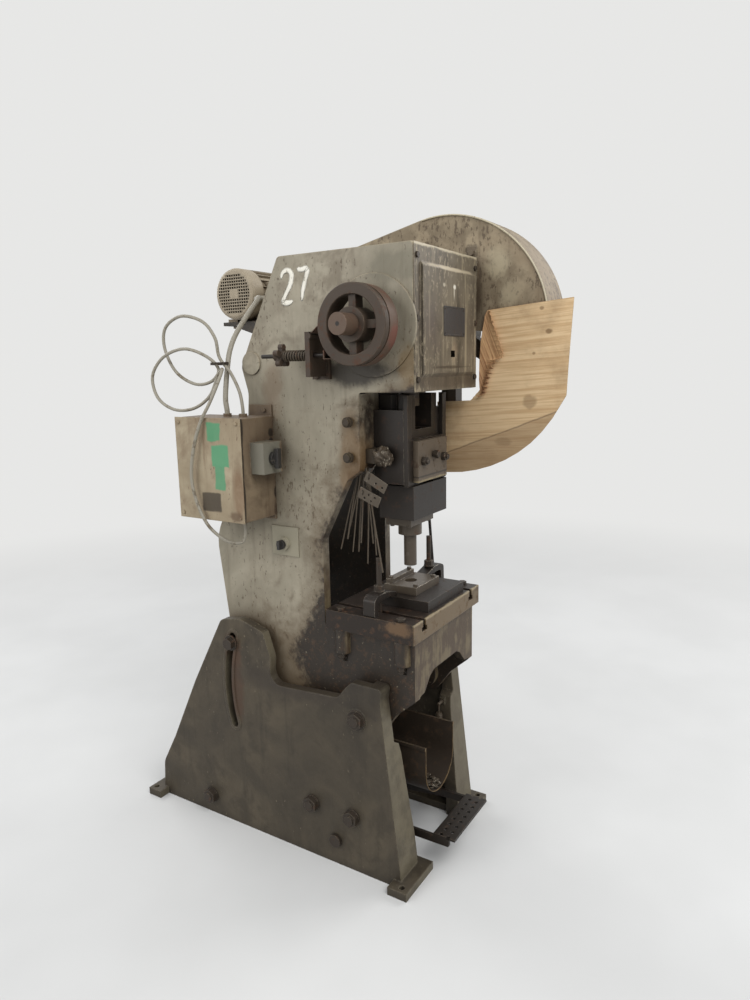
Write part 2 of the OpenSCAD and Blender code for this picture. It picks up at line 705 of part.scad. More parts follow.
// Steel band with a lug at each end
lug_y = crank_y + 118;
module brake_band() {
  color("#6d4a3e") mirror([1, 0, 0]) difference() {
    union() {
      along_x(band_x, band_x + band_w) band_arc(lining_r + 4.1, lining_r + 6.5, band_from, band_to);
      along_x(band_x, band_x + band_w) polygon([
        crank_c + (lining_r + 4.1) * [cos(band_from), sin(band_from)],
        crank_c + (lining_r + 6.5) * [cos(band_from), sin(band_from)],
        [crank_y + 150, rod_z + 60], [crank_y + 147, rod_z + 60]]);
      along_x(band_x, band_x + band_w) polygon([
        crank_c + (lining_r + 4.1) * [cos(band_to), sin(band_to)],
        crank_c + (lining_r + 6.5) * [cos(band_to), sin(band_to)],
        [lug_y - 10, rod_z - 12], [lug_y - 10, rod_z + 12], [lug_y - 14, rod_z + 12],
        [lug_y - 14, rod_z - 10]]);
    }
    bar_y(13, lug_y - 20, lug_y, rod_x, rod_z);
  }
}
rod_x = band_x + band_w / 2;
rod_z = crank_z - 76;
// Bracket bolted to the cheek, with the eye that the rod slides in
bracket_y = lug_y + 34;
module brake_bracket() {
  color("#433b33") mirror([1, 0, 0]) difference() {
    union() {
      block([hw, bracket_y - 10, rod_z - 68], [hw + 12, bracket_y + 50, rod_z + 68]);
      block([hw + 11, bracket_y, rod_z - 60], [rod_x + 22, bracket_y + 16, rod_z + 64]);
      bar_x(16, rod_x - 22, rod_x + 24, bracket_y + 2, rod_z + 52);
      for (s = [-1, 1]) hex_x(19, hw + 12, 9, bracket_y + 34, rod_z + 56 * s);
    }
    bar_y(14, bracket_y - 1, bracket_y + 20, rod_x, rod_z);
  }
}
// Pull rod of the band, its fork pinned to the lower lug
rod_end = bracket_y + 190;
module brake_rod() {
  color("#57514a") mirror([1, 0, 0]) {
    bar_y(12, lug_y - 24, rod_end, rod_x, rod_z);
    difference() {
      bar_y(18, lug_y - 24, lug_y - 14.2, rod_x, rod_z);
      bar_y(11, lug_y - 30, lug_y - 10, rod_x, rod_z);
    }
  }
}
spring_l = 88;
module brake_spring() {
  color("#5d564a") mirror([1, 0, 0]) translate([rod_x, bracket_y + 16, rod_z]) rotate([-90, 0, 0])
    for (i = [0:10]) translate([0, 0, i * spring_l / 11])
      rotate_extrude($fn = 32) polygon([[10, 0], [14.4, 0], [16, 2], [16, 6], [14.4, 8], [10, 8]]);
}
// Star-shaped hand nut
nut_y = bracket_y + 16 + spring_l;
module brake_nut() {
  color("#4b3a30") mirror([1, 0, 0]) difference() {
    union() {
      bar_y(30, nut_y + 0.3, nut_y + 34, rod_x, rod_z);
      for (a = [0:72:288]) translate([rod_x, 0, rod_z]) rotate([0, a, 0]) {
        block([-8, nut_y + 4, 8], [8, nut_y + 20, 26]);
        bar_y(18, nut_y + 4, nut_y + 20, 0, 25);
      }
    }
    bar_y(12 + 2 * run_gap, nut_y - 5, nut_y + 40, rod_x, rod_z);
  }
}

// Connecting rod: split big end, shank, and the ball-ended screw with its lock nut
pin_z = crank_z + throw;
big_r = crankpin_d / 2 + 24;
rod_hw = 34;
bolt_y = crankpin_d / 2 + 12;
shank_low = ball_z + 150;
module connecting_rod() {
  color("#67625a") difference() {
    union() {
      along_x(-rod_hw, rod_hw) polygon(concat(arc([crank_y, pin_z], big_r, 180, 360, 24),
        [[crank_y + big_r, pin_z]]));
      both_sides_y(bolt_y) block([-rod_hw, -13, pin_z - 34], [rod_hw, 13, pin_z]);
      translate([0, crank_y, shank_low]) cylinder(d1 = 56, d2 = 70, h = pin_z - big_r + 10 - shank_low, $fn = 48);
      translate([0, crank_y, shank_low]) cylinder(d = 62, h = 26);
    }
    bar_x(crankpin_d + 2 * run_gap, -50, 50, crank_y, pin_z);
    block([-60, crank_y - 100, pin_z - 0.01], [60, crank_y + 100, pin_z + 100]);
    translate([0, crank_y, shank_low - 1]) cylinder(d = 36 + 2 * seat_gap, h = 90);
    both_sides_y(bolt_y) {
      translate([0, 0, pin_z - 50]) cylinder(d = 16.2, h = 60);
      translate([0, 0, pin_z - 80]) cylinder(d = 30, h = 46);
    }
  }
}
// The children at crank_y + d and crank_y - d
module both_sides_y(d) {
  for (s = [-1, 1]) translate([0, crank_y + s * d, 0]) children();
}
module rod_cap() {
  color("#67625a") difference() {
    union() {
      along_x(-rod_hw, rod_hw) polygon(concat(arc([crank_y, pin_z], big_r, 0, 180, 24)));
      both_sides_y(bolt_y) block([-rod_hw, -13, pin_z], [rod_hw, 13, pin_z + 30]);
    }
    bar_x(crankpin_d + 2 * run_gap, -50, 50, crank_y, pin_z);
    both_sides_y(bolt_y) translate([0, 0, pin_z - 10]) cylinder(d = 16.2, h = 100);
    both_sides_y(bolt_y) translate([0, 0, pin_z + 24]) cylinder(d = 30, h = 60);
  }
}
module rod_bolts() {
  color("#45403a") both_sides_y(bolt_y) {
    translate([0, 0, pin_z - 48]) cylinder(d = 16, h = 86);
    translate([0, 0, pin_z + 24]) cylinder(d = 24 / cos(30), h = 12, $fn = 6);
    translate([0, 0, pin_z - 46]) cylinder(d = 24 / cos(30), h = 11.5, $fn = 6);
  }
}
module ball_screw() {
  color("#7a756b") {
    translate([0, crank_y, ball_z + 14]) cylinder(d = 26, h = 60);
    translate([0, crank_y, ball_z + 70]) cylinder(d = 36, h = 140);
    translate([0, crank_y, ball_z]) rotate_extrude() intersection() {
      circle(r = ball_r);
      translate([0, -40]) square([40, 80]);
    }
    translate([0, crank_y, shank_low - 24]) cylinder(d = 55 / cos(30), h = 24, $fn = 6);
  }
}

// Ram: body between the guides, wide front flange, pocket for the ball, window, shank hole
pocket_y = throw + ball_r + 0.4;
module ram() {
  color("#6f6250") difference() {
    union() {
      translate([0, 0, ram_low]) linear_extrude(ram_h) polygon([[-ram_w / 2, flange_y + flange_t - 1],
        [ram_w / 2, flange_y + flange_t - 1], [ram_w / 2, crank_y - vee - 0.5],
        [ram_w / 2 - vee - 0.5, crank_y], [ram_w / 2, crank_y + vee + 0.5],
        [ram_w / 2, column_y + 12], [-ram_w / 2, column_y + 12], [-ram_w / 2, crank_y + vee + 0.5],
        [-ram_w / 2 + vee + 0.5, crank_y], [-ram_w / 2, crank_y - vee - 0.5]]);
      block([-gib_out, flange_y, ram_low], [gib_out, flange_y + flange_t, ram_low + ram_h]);
    }
    block([-34, crank_y - pocket_y, ball_z - ball_r - throw * 0.25], [34, crank_y + pocket_y, ram_low + ram_h + 1]);
    block([-52, flange_y - 1, ball_z + 60], [52, column_y + 13, ram_low + ram_h + 1]);
    block([-100, flange_y - 1, ram_low + 136], [100, flange_y + flange_t, ram_low + ram_h + 1]);
    translate([0, crank_y, ram_low - 1]) cylinder(d = shank_d + 0.4, h = shank_h + 2);
    block([-30.3, flange_y - 1, ram_low - 1], [30.3, crank_y - 3, ram_low + shank_h + 3]);
    both_sides() bar_y(16.2, flange_y - 1, flange_y + 50, 64, clamp_mid);
  }
}
clamp_mid = ram_low + 72;
// Cap that grips the tool shank
pad_t = 18;
module shank_clamp() {
  color("#7d7264") difference() {
    union() {
      block([-92, flange_y - pad_t, ram_low + 10], [92, flange_y, ram_low + 132]);
      block([-30, flange_y - 1, ram_low + 4], [30, crank_y - 3.5, ram_low + shank_h + 2.5]);
    }
    translate([0, crank_y, ram_low - 1]) cylinder(d = shank_d + 0.4, h = shank_h + 8);
    both_sides() bar_y(16.2, flange_y - pad_t - 1, flange_y + 1, 64, clamp_mid);
    bar_y(18.2, flange_y - pad_t - 1, flange_y - 4, 0, clamp_mid + 14);
  }
}
module clamp_studs() {
  color("#4b423a") {
    both_sides() {
      bar_y(16, flange_y - pad_t - 20, flange_y + 48, 64, clamp_mid);
      hex_y(24, flange_y - pad_t - 13, 13, 64, clamp_mid);
    }
    bar_y(18, flange_y - pad_t - 6, flange_y - 4.2, 0, clamp_mid + 14);
    translate([0, flange_y - pad_t - 20, clamp_mid + 14]) rotate([0, 45, 0]) block([-9, 0, -9], [9, 14.5, 9]);
  }
}

// Tools on the ram and on the bolster

module punch_block() {
  color("#5d4a38") {
    block([-107, -490, ram_low - punch_block_t], [107, -372, ram_low]);
    translate([0, crank_y, ram_low - 1]) cylinder(d = shank_d, h = shank_h);
  }
}
punch_top = ram_low - punch_block_t;
die_top = bed_top + die_t + die_block_t;
module punch() {
  color("#6e685c") {
    block([-72, crank_y - 44, punch_top - 28], [72, crank_y + 44, punch_top]);
    translate([0, crank_y, punch_top - 66]) cylinder(d = punch_d + 34, h = 39);
    translate([0, crank_y, die_top + stroke - 3]) cylinder(d = punch_d, h = punch_top - 60 - die_top - stroke + 3);
    both_sides() for (y = [-30, 30]) translate([58, crank_y + y, punch_top - 34]) cylinder(d = 13, h = 6.5);
  }
}
die_x = [-slot_x + 55, slot_x - 18];
block_x = [die_x[0] + 35, die_x[1] - 58];
module die_plate() {
  color("#4f4538") difference() {
    block([die_x[0], crank_y - 118, bed_top], [die_x[1], crank_y + 75, bed_top + die_t]);
    translate([0, crank_y, bed_top - 1]) cylinder(r = punch_d / 2 + 6, h = die_t + 2);
  }
}
module die_block() {
  color("#5a5444") {
    difference() {
      union() {
        block([block_x[0], crank_y - 58, bed_top + die_t], [block_x[1], crank_y + 56, die_top]);
        block([block_x[0] + 8, crank_y + 30, die_top], [block_x[1] - 8, crank_y + 54, die_top + 14]);
      }
      translate([0, crank_y, bed_top]) cylinder(r = punch_d / 2 + 0.5, h = die_t + die_block_t + 1);
    }
    for (x = [block_x[0] + 18, block_x[1] - 18], y = [-46, 42])
      translate([x, crank_y + y, die_top + (y > 0 ? 14 : 0)])
      cylinder(d = 15, h = 7);
  }
}
// Goose-neck clamps on the die plate
strap_y = crank_y + 19;
module strap(s) {
  clamp_top = bed_top + die_t + 20;
  difference() {
    along_y(strap_y - 20, strap_y + 20) translate([slot_x, 0])
      polygon([for (p = rounded([[-72, bed_top + die_t, 3], [-42, bed_top + die_t, 3],
        [-36, clamp_top - 12, 8], [36, clamp_top - 12, 10], [40, bed_top, 2], [60, bed_top, 2],
        [58, clamp_top - 2, 14], [36, clamp_top + 8, 10], [-10, clamp_top + 8, 24],
        [-50, clamp_top - 2, 12], [-68, clamp_top - 6, 8]])) [p[0] + s, p[1]]]);
    translate([slot_x, strap_y, bed_top - 5]) cylinder(d = 20, h = 100);
  }
}
module strap_clamps() {
  color("#5f5546") {
    strap(14);
    mirror([1, 0, 0]) strap(0);
  }
}
module strap_studs() {
  color("#5b5246") both_sides() translate([slot_x, strap_y, 0]) {
    block([-15, -15, bed_top - 33.5], [15, 15, bed_top - 20.5]);
    translate([0, 0, bed_top - 24]) cylinder(d = 16, h = 190);
    translate([0, 0, bed_top + die_t + 28]) cylinder(d = 34, h = 5);
    translate([0, 0, bed_top + die_t + 33]) cylinder(d = 27 / cos(30), h = 16, $fn = 6);
  }
}

// Drive

module flywheel() {
  x1 = flywheel_x + flywheel_w;
  g = [for (i = [0:belts - 1]) belt_x + (i - (belts - 1) / 2) * belt_pitch];
  color("#4e4a44") difference() {
    union() {
      translate([0, crank_y, crank_z]) rotate([0, 90, 0]) rotate_extrude($fn = 120)
        polygon([[fly_r - 58, flywheel_x], [fly_r, flywheel_x], [fly_r, x1], [fly_r - 48, x1]]);
      bar_x(150, flywheel_x - 6, x1 + 16, crank_y, crank_z);
      for (i = [0:spokes - 1]) translate([0, crank_y, crank_z]) rotate([i * 360 / spokes, 0, 0])
        translate([flywheel_x + flywheel_w / 2, 0, 60]) linear_extrude(fly_r - 110)
          polygon([[-24, -26], [24, -26], [30, 0], [24, 26], [-24, 26], [-30, 0]]);
    }
    bar_x(journal_d + 16 + 2 * seat_gap, 0, x1 + 40, crank_y, crank_z);
    for (x = g) translate([0, crank_y, crank_z]) rotate([0, 90, 0]) rotate_extrude($fn = 120)
      polygon([[fly_r - belt_h - 3, x - 5.5], [fly_r + 1, x - 8.5], [fly_r + 1, x + 8.5], [fly_r - belt_h - 3, x + 5.5]]);
  }
  color("#9a7b45") difference() {
    bar_x(journal_d + 16, flywheel_x - 6, x1 + 16, crank_y, crank_z);
    bar_x(journal_d + 2 * run_gap, 0, x1 + 40, crank_y, crank_z);
  }
}
// Plate and bolt that keep the flywheel on its shaft
module shaft_cap() {
  color("#4b463e") {
    bar_x(110, shaft_right, shaft_right + 8, crank_y, crank_z);
    hex_x(30, shaft_right + 8, 12, crank_y, crank_z);
  }
}

// Sheet hood over the flywheel and the belts
hood_front = crank_z - 30;
function hood_path(inset) =
  let (t = tangent_angle(crank_c, guard_r, motor_c, guard_rear_r))
  concat(arc(crank_c, guard_r - inset, 180 + asin(30 / guard_r), t, 28),
    arc(motor_c, guard_rear_r - inset, t, -80, 12));
module flywheel_guard() {
  x0 = guard_x;
  x1 = guard_x + guard_w;
  p = hood_path(0);
  color("#8b8a7c") {
    difference() {
      union() {
        along_x(x0, x0 + sheet_t) polygon(p);
        along_x(x1 - sheet_t, x1) polygon(p);
      }
      bar_x(170, x0 - 5, x0 + 5, crank_y, crank_z);
      block([x0 - 5, crank_y - 85, crank_z - 200], [x0 + 5, crank_y + 85, crank_z]);
      bar_x(2 * motor_r - 54, x0 - 5, x0 + 5, motor_y, motor_z);
      block([x1 - 10, crank_y - 380, crank_z - 200], [x1 + 5, crank_y + 120, crank_z + 40]);
    }
    along_x(x0, x1) polygon(concat(p, reverse(hood_path(sheet_t))));
    for (q = bracket_places) {
      block([hw, q[0] - 16, q[1] - 16], [x0, q[0] + 16, q[1] + 16]);
      block([x0 - 5, q[0] - 16, q[1] - 16], [x0, q[0] + 16, q[1] + 90]);
      for (z = [q[1] + 30, q[1] + 70]) translate([-8, 0, 0]) hex_x(17, x0 - 5, 9, q[0], z);
    }
  }
}
function reverse(v) = [for (i = [len(v) - 1:-1:0]) v[i]];

// Flat bars hold the hood on the cheek
bracket_places = [[-520, 1836], [-150, 1790]];

// Makeshift plywood sheet tied over the lower half of the flywheel
ply_front = crank_y - 429;
module plywood_guard() {
  color("#b59a6c") along_x(guard_x - ply_t, guard_x - 0.3) difference() {
    polygon(concat([[ply_front, crank_z + 80]], arc(crank_c, guard_r + 110, 207, 272, 20),
      [[crank_y + 16, head_low - 44], [front_y + 25, head_low - 44], [front_y - 23, head_low + 6],
      [front_y - 30, crank_z + 55]]));
    translate([crank_y - 223, crank_z + 24]) circle(d = 6);
  }
}

module drive_belts() {
  color("#2b2926") for (i = [0:belts - 1]) {
    x = belt_x + (i - (belts - 1) / 2) * belt_pitch;
    along_x(x - belt_w / 2 + 0.7, x + belt_w / 2 - 0.7) difference() {
      polygon(loop_outline(crank_c, fly_r - 0.6, motor_c, pulley_d / 2 - 0.6));
      polygon(loop_outline(crank_c, fly_r - belt_h, motor_c, pulley_d / 2 - belt_h));
    }
  }
}

// Motor

motor_shaft_d = 24;
body_x = [guard_x - 202, guard_x - 6];
motor_back = body_x[0] - 46;
foot_x = [body_x[0] + 34, body_x[0] + 154];
lead_y = motor_y - 100;
lead_z = motor_z - 17;
foot_z = motor_z - 90;
slope = unit([hump_y - back_y, hump_z - head_top]);
slope_n = [-slope[1], slope[0]];
// Point on the head's sloping back, t along it and d away from it
function on_slope(t, d) = [back_y, head_top] + slope * t + slope_n * d;
module motor_bracket() {
  color("#5d5a4e") difference() {
    union() {
      block([body_x[0] - 6, on_slope(170, 0)[0], foot_z - 12], [guard_x - 4, motor_y + 92, foot_z]);
      along_x(body_x[0] - 6, guard_x - 4) polygon([on_slope(56, 0.2), on_slope(56, 12), on_slope(300, 12), on_slope(300, 0.2)]);
      for (x = [body_x[0] - 6, guard_x - 16]) along_x(x, x + 12) polygon([on_slope(60, 6), on_slope(290, 6),
        [motor_y + 60, foot_z - 10], [motor_y - 100, foot_z - 4]]);
    }
    along_x(0, 300) polygon([on_slope(0, 0.2), on_slope(340, 0.2), on_slope(340, -80), on_slope(0, -80)]);
    for (x = foot_x, y = [-70, 70]) translate([x, motor_y + y, foot_z - 20]) cylinder(d = 11, h = 30);
    bar_x(124, body_x[0] - 16, guard_x + 2, motor_y, motor_z);
  }
}
fins = 22;
module motor_housing() {
  color("#8d8777") {
    difference() {
      union() {
        bar_x(2 * motor_r, body_x[0], body_x[1], motor_y, motor_z);
        bar_x(2 * cowl_r - 4.6, body_x[0] + 2, body_x[0] + 12, motor_y, motor_z);
        for (i = [0:fins - 1]) translate([0, motor_y, motor_z]) rotate([i * 360 / fins + 8, 0, 0])
          block([body_x[0] + 14, -1.5, motor_r - 3], [body_x[1] - 14, 1.5, motor_r + 9]);
        for (s = [-1, 1]) block([body_x[0] + 20, motor_y + s * 70 - 22, foot_z],
          [body_x[1] - 20, motor_y + s * 70 + 22, foot_z + 12]);
        for (s = [-1, 1]) block([body_x[0] + 30, motor_y + s * 60 - 8, foot_z],
          [body_x[1] - 30, motor_y + s * 60 + 8, motor_z - 40]);
        bar_x(2 * motor_r - 60, body_x[1], body_x[1] + 12, motor_y, motor_z);
        block([body_x[0] + 34, motor_y - motor_r - 46, motor_z - 44],
          [body_x[0] + 124, motor_y - motor_r + 16, motor_z + 40]);
        bar_x(24, body_x[0] + 22, body_x[0] + 34, lead_y, lead_z);
      }
      bar_x(2 * motor_r - 16, body_x[0] + 8, body_x[1] - 8, motor_y, motor_z);
      bar_x(motor_shaft_d + 2 * run_gap, body_x[0] - 1, body_x[1] + 20, motor_y, motor_z);
      for (x = foot_x, y = [-70, 70]) translate([x, motor_y + y, foot_z - 20]) cylinder(d = 11, h = 40);
    }
    for (x = foot_x, y = [-70, 70]) {
      translate([x, motor_y + y, foot_z - 22]) cylinder(d = 10, h = 42);
      translate([x, motor_y + y, foot_z + 12]) cylinder(d = 17 / cos(30), h = 7, $fn = 6);
      translate([x, motor_y + y, foot_z - 20]) cylinder(d = 17 / cos(30), h = 8, $fn = 6);
    }
  }
}
// Fan hood with its grid of openings
cowl_r = 85;
module fan_cover() {
  color("#9b9585") difference() {
    translate([0, motor_y, motor_z]) rotate([0, 90, 0]) rotate_extrude($fn = 64)
      polygon([[0, motor_back], [cowl_r - 10, motor_back], [cowl_r - 3, motor_back + 4], [cowl_r, motor_back + 12],
        [cowl_r, body_x[0] + 12], [cowl_r - 2, body_x[0] + 12], [cowl_r - 2, motor_back + 13],
        [cowl_r - 5, motor_back + 6], [cowl_r - 11, motor_back + 2.5], [0, motor_back + 2.5]]);
    for (j = [-6:6]) let (half = sqrt(pow(cowl_r - 16, 2) - pow(j * 10, 2)))
      for (side = abs(j) < 2 ? [-1, 1] : [0])
        block([motor_back - 1, motor_y + (side == 0 ? -half : side > 0 ? 18 : -half), motor_z + j * 10 - 3],
          [motor_back + 4, motor_y + (side == 0 ? half : side > 0 ? half : -18), motor_z + j * 10 + 3]);
  }
}
// Rotor on its shaft, with the cooling fan
module motor_rotor() {
  color("#6f6c66") {
    bar_x(motor_shaft_d, motor_back + 10, body_x[1] + 62, motor_y, motor_z);
    bar_x(2 * motor_r - 34, body_x[0] + 30, body_x[1] - 30, motor_y, motor_z);
    bar_x(44, motor_back + 10, body_x[0] - 4, motor_y, motor_z);
    for (i = [0:6]) translate([0, motor_y, motor_z]) rotate([i * 360 / 7, 0, 0])
      block([motor_back + 12, -2, 18], [body_x[0] - 8, 2, cowl_r - 12]);
  }
}
module motor_pulley() {
  g = [for (i = [0:belts - 1]) belt_x + (i - (belts - 1) / 2) * belt_pitch];
  r = pulley_d / 2;
  color("#4c4842") difference() {
    bar_x(pulley_d, belt_x - belts * belt_pitch / 2 - 2, belt_x + belts * belt_pitch / 2 + 2, motor_y, motor_z);
    bar_x(motor_shaft_d + 2 * seat_gap, 0, 400, motor_y, motor_z);
    for (x = g) translate([0, motor_y, motor_z]) rotate([0, 90, 0]) rotate_extrude($fn = 64)
      polygon([[r - belt_h - 3, x - 5.5], [r + 1, x - 8.5], [r + 1, x + 8.5], [r - belt_h - 3, x + 5.5]]);
  }
}

// Control gear

module control_box() {
  color("#8a7f6c") mirror([1, 0, 0]) {
    difference() {
      block([box_x, box_y, box_z], [box_x + box_d, box_y + box_w, box_z + box_h]);
      block([box_x + 2, box_y + 2, box_z + 2], [box_x + box_d + 1, box_y + box_w - 2, box_z + box_h - 2]);
      for (y = gland_y) translate([gland_x, y, box_z + box_h - 4]) cylinder(d = 20.2, h = 6);
      translate([gland_x + 24, box_y + 51, box_z - 1]) cylinder(d = 20.2, h = 6);
    }
    block([hw, box_y + 2, box_z - 14], [box_x, box_y + 90, box_z + box_h + 34]);
    for (z = [box_z + box_h + 18, box_z - 6]) hex_x(13, box_x, 6, box_y + 30, z);
    block([box_x + 2, box_y + 40, box_z + 60], [box_x + 90, box_y + 200, box_z + 240]);
    for (y = gland_y) translate([gland_x, y, box_z + box_h - 2]) gland();
    translate([gland_x + 24, box_y + 51, box_z + 2]) mirror([0, 0, 1]) gland();
    block([box_x + 24, box_y - 52, box_z + 144], [box_x + 108, box_y, box_z + 238]);
    block([hw, knob_y - 57, knob_z - 38], [hw + 3, knob_y + 48, knob_z + 56]);
    bar_x(44, hw + 3, hw + 14, knob_y, knob_z);
  }
}
gland_x = 272;
gland_y = [8, 72];
knob_y = -74;
knob_z = 1020;
module gland() {
  difference() {
    union() {
      cylinder(d = 20, h = 12);
      translate([0, 0, 2]) cylinder(d = 26, h = 10);
    }
    translate([0, 0, -1]) cylinder(d = cable_d, h = 20);
  }
}
module box_cover() {
  color("#a2937a") mirror([1, 0, 0]) {
    block([box_x + box_d, box_y - 2, box_z - 2], [box_x + box_d + 2, box_y + box_w + 2, box_z + box_h + 2]);
    for (y = [box_y + 14, box_y + box_w - 14], z = [box_z + 14, box_z + box_h - 14])
      bar_x(10, box_x + box_d + 2, box_x + box_d + 6, y, z);
  }
}
iso_x = box_x + 66;
iso_z = box_z + 190;
module isolator_lever() {
  color("#33312e") mirror([1, 0, 0]) {
    bar_y(40, box_y - 64, box_y - 52.3, iso_x, iso_z);
    block([iso_x - 8, box_y - 78, iso_z - 30], [iso_x + 8, box_y - 63, iso_z + 30]);
  }
}
module switch_knob() {
  color("#2f2c29") mirror([1, 0, 0]) {
    bar_x(30, hw + 14.3, hw + 24, knob_y, knob_z);
    block([hw + 23, knob_y - 5, knob_z - 14], [hw + 34, knob_y + 5, knob_z + 14]);
  }
}

// Clutch trip, worked by the treadle

trip_c = [crank_y + 127, crank_z - 76];
trip_x = hw + boss_h + 2;
trip_arm = 62;
trip_pin = [trip_c[0] - trip_arm, trip_c[1] + 5];
module trip_lever() {
  color("#5a5348") difference() {
    union() {
      bar_x(34, trip_x, trip_x + 12, trip_c[0], trip_c[1]);
      along_x(trip_x, trip_x + 8) polygon([[trip_c[0], trip_c[1] + 15], [crank_y + 44, crank_z - 74],
        [crank_y + 24, crank_z - 66], [crank_y + 24.5, crank_z - 84], [crank_y + 44, crank_z - 88],
        [trip_c[0], trip_c[1] - 15]]);
      bar_x(10, trip_x, trip_x + 18, trip_pin[0], trip_pin[1]);
    }
    bar_x(16 + 2 * run_gap, 0, hw + 60, trip_c[0], trip_c[1]);
  }
}
// Joggled rod from the pivot axis up to the trip lever
rod_top = [trip_x + 13, trip_pin[0], trip_pin[1]];
rod_bend = [rod_top[0], rod_top[1], 1270];
rod_low = [link_x + 13, pivot_y, pivot_z];
module bar_between(a, b, d) {
  v = b - a;
  translate(a) rotate([0, acos(v[2] / norm(v)), atan2(v[1], v[0])]) cylinder(d = d, h = norm(v));
}
module pull_rod() {
  color("#4f4a42") {
    difference() {
      union() {
        bar_between(rod_low, rod_bend, 10);
        bar_between(rod_bend, rod_top, 10);
        translate(rod_bend) sphere(d = 13);
        bar_x(28, rod_top[0] - 4, rod_top[0] + 4, rod_top[1], rod_top[2]);
      }
      bar_x(12.6, rod_top[0] - 20, rod_top[0] + 20, rod_top[1], rod_top[2]);
    }
    bar_x(26, rod_low[0] - 4, rod_low[0] + 4, pivot_y, pivot_z);
    bar_x(pin_d, link_x + 1, rod_low[0], pivot_y, pivot_z);
  }
}

// Cables

cable_d = 16;
loop_d = 10;
// Points given as [out from the left cheek, y, z]
function beside_cheek(p) = [for (q = p) [-hw - q[0], q[1], q[2]]];
// The motor lead: from the motor's box round the frame, through the tie, into the control box
lead_way = [[-190, 146, 1797], [-150, 124, 1791], [-108, 88, 1786], [-70, 46, 1784], [-36, 32, 1764],
  [-10, 54, 1718], [14, 76, 1668], [36, 82, 1620], [52, 80, 1570], [62, 80, 1520], [70, 78, 1474],
  [72, 72, 1440], [72, 72, 1420]];
lead_route = concat([[body_x[0] + 22, lead_y, lead_z], [motor_back + 44, lead_y, lead_z]],
  beside_cheek(lead_way));
// The spare cable: up from the box in three loops through the tie, then round and under the box
loop_way = [[72, 8, 1420], [72, 8, 1450], [66, 24, 1500], [64, 58, 1556], [68, 96, 1602],
  [72, 106, 1660], [80, 146, 1710], [88, 228, 1730], [92, 296, 1698], [90, 308, 1634], [88, 266, 1560],
  [84, 190, 1522], [78, 124, 1530], [74, 96, 1566], [92, 128, 1606], [106, 206, 1630],
  [114, 292, 1606], [118, 342, 1548], [120, 322, 1480], [120, 252, 1444], [114, 172, 1448],
  [102, 112, 1486], [84, 92, 1546], [94, 62, 1566], [118, 58, 1530], [146, 70, 1470], [166, 96, 1408],
  [172, 124, 1330], [172, 140, 1240], [170, 124, 1160], [162, 88, 1090], [134, 44, 1044],
  [104, 12, 1036], [96, 1, 1062], [96, 1, 1100], [96, 1, 1116]];
loop_route = beside_cheek(loop_way);
tie_z = 1583;
// Smooth points through a route, k to each stretch
function smooth(p, k) = concat([for (i = [0:len(p) - 2], j = [0:k - 1])
  let (a = p[max(i - 1, 0)], b = p[i], c = p[i + 1], d = p[min(i + 2, len(p) - 1)], t = j / k)
  0.5 * (2 * b + (c - a) * t + (2 * a - 5 * b + 4 * c - d) * t * t + (3 * b - a - 3 * c + d) * t * t * t)],
  [p[len(p) - 1]]);
// Frames carried along the route, so that the rings never twist
function carried(r, i, s) = i >= len(r) ? [] :
  let (t = unit(r[min(i + 1, len(r) - 1)] - r[max(i - 1, 0)]), q = unit(s - (s * t) * t))
  concat([[r[i], q, cross(t, q)]], carried(r, i + 1, q));
module tube(route, d, n = 8) {
  f = carried(route, 0, [0.31, 0.95, 0.02]);
  m = len(route);
  points = [for (q = f, j = [0:n - 1]) q[0] + d / 2 * (cos(360 * j / n) * q[1] + sin(360 * j / n) * q[2])];
  sides = [for (i = [0:m - 2], j = [0:n - 1])
    [i * n + j, (i + 1) * n + j, (i + 1) * n + (j + 1) % n, i * n + (j + 1) % n]];
  polyhedron(points, concat([[for (j = [0:n - 1]) j]], sides, [[for (j = [n - 1:-1:0]) (m - 1) * n + j]]));
}
module motor_lead() {
  color("#a7a49b") tube(smooth(lead_route, 3), cable_d);
}
module loop_cable() {
  color("#b2afa6") tube(smooth(loop_route, 2), loop_d);
}
module cable_tie() {
  color("#8d8a80") difference() {
    block([-hw - 96, 69, tie_z - 5], [-hw - 36.3, 126, tie_z + 5]);
    block([-hw - 93, 72, tie_z - 6], [-hw - 39.3, 123, tie_z + 6]);
  }
}

base_left_leg();
base_right_leg();
tie_rods();
pivot_shaft();
treadle_shaft();
treadle();
treadle_spring();
treadle_link();
scrap_trough();
frame_casting();
clamp_bolts();
bolster();
bolster_bolts();
front_cover();
cover_screws();
crank_bushes();
gibs();
gib_bolts();
grease_cups();
crankshaft();
clutch_collar();
brake_drum();
brake_lining();
brake_band();
brake_bracket();
brake_rod();
brake_spring();
brake_nut();
connecting_rod();
rod_cap();
rod_bolts();
ball_screw();
ram();
shank_clamp();
clamp_studs();
punch_block();
punch();
die_plate();
die_block();
strap_clamps();
strap_studs();
flywheel();
shaft_cap();
flywheel_guard();
plywood_guard();
drive_belts();
motor_bracket();
motor_housing();
fan_cover();
motor_rotor();
motor_pulley();
control_box();
box_cover();
isolator_lever();
switch_knob();
trip_lever();
pull_rod();
motor_lead();
loop_cable();
cable_tie();
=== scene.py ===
"""Looks of a small mechanical stamping press: camera, light, finishes and dressed pieces."""

import logging
import math
import random
from collections.abc import Callable, Iterator, Sequence
from contextlib import contextmanager
from dataclasses import dataclass
from enum import Enum

import bmesh
import bpy
from mathutils import Matrix, Vector, noise


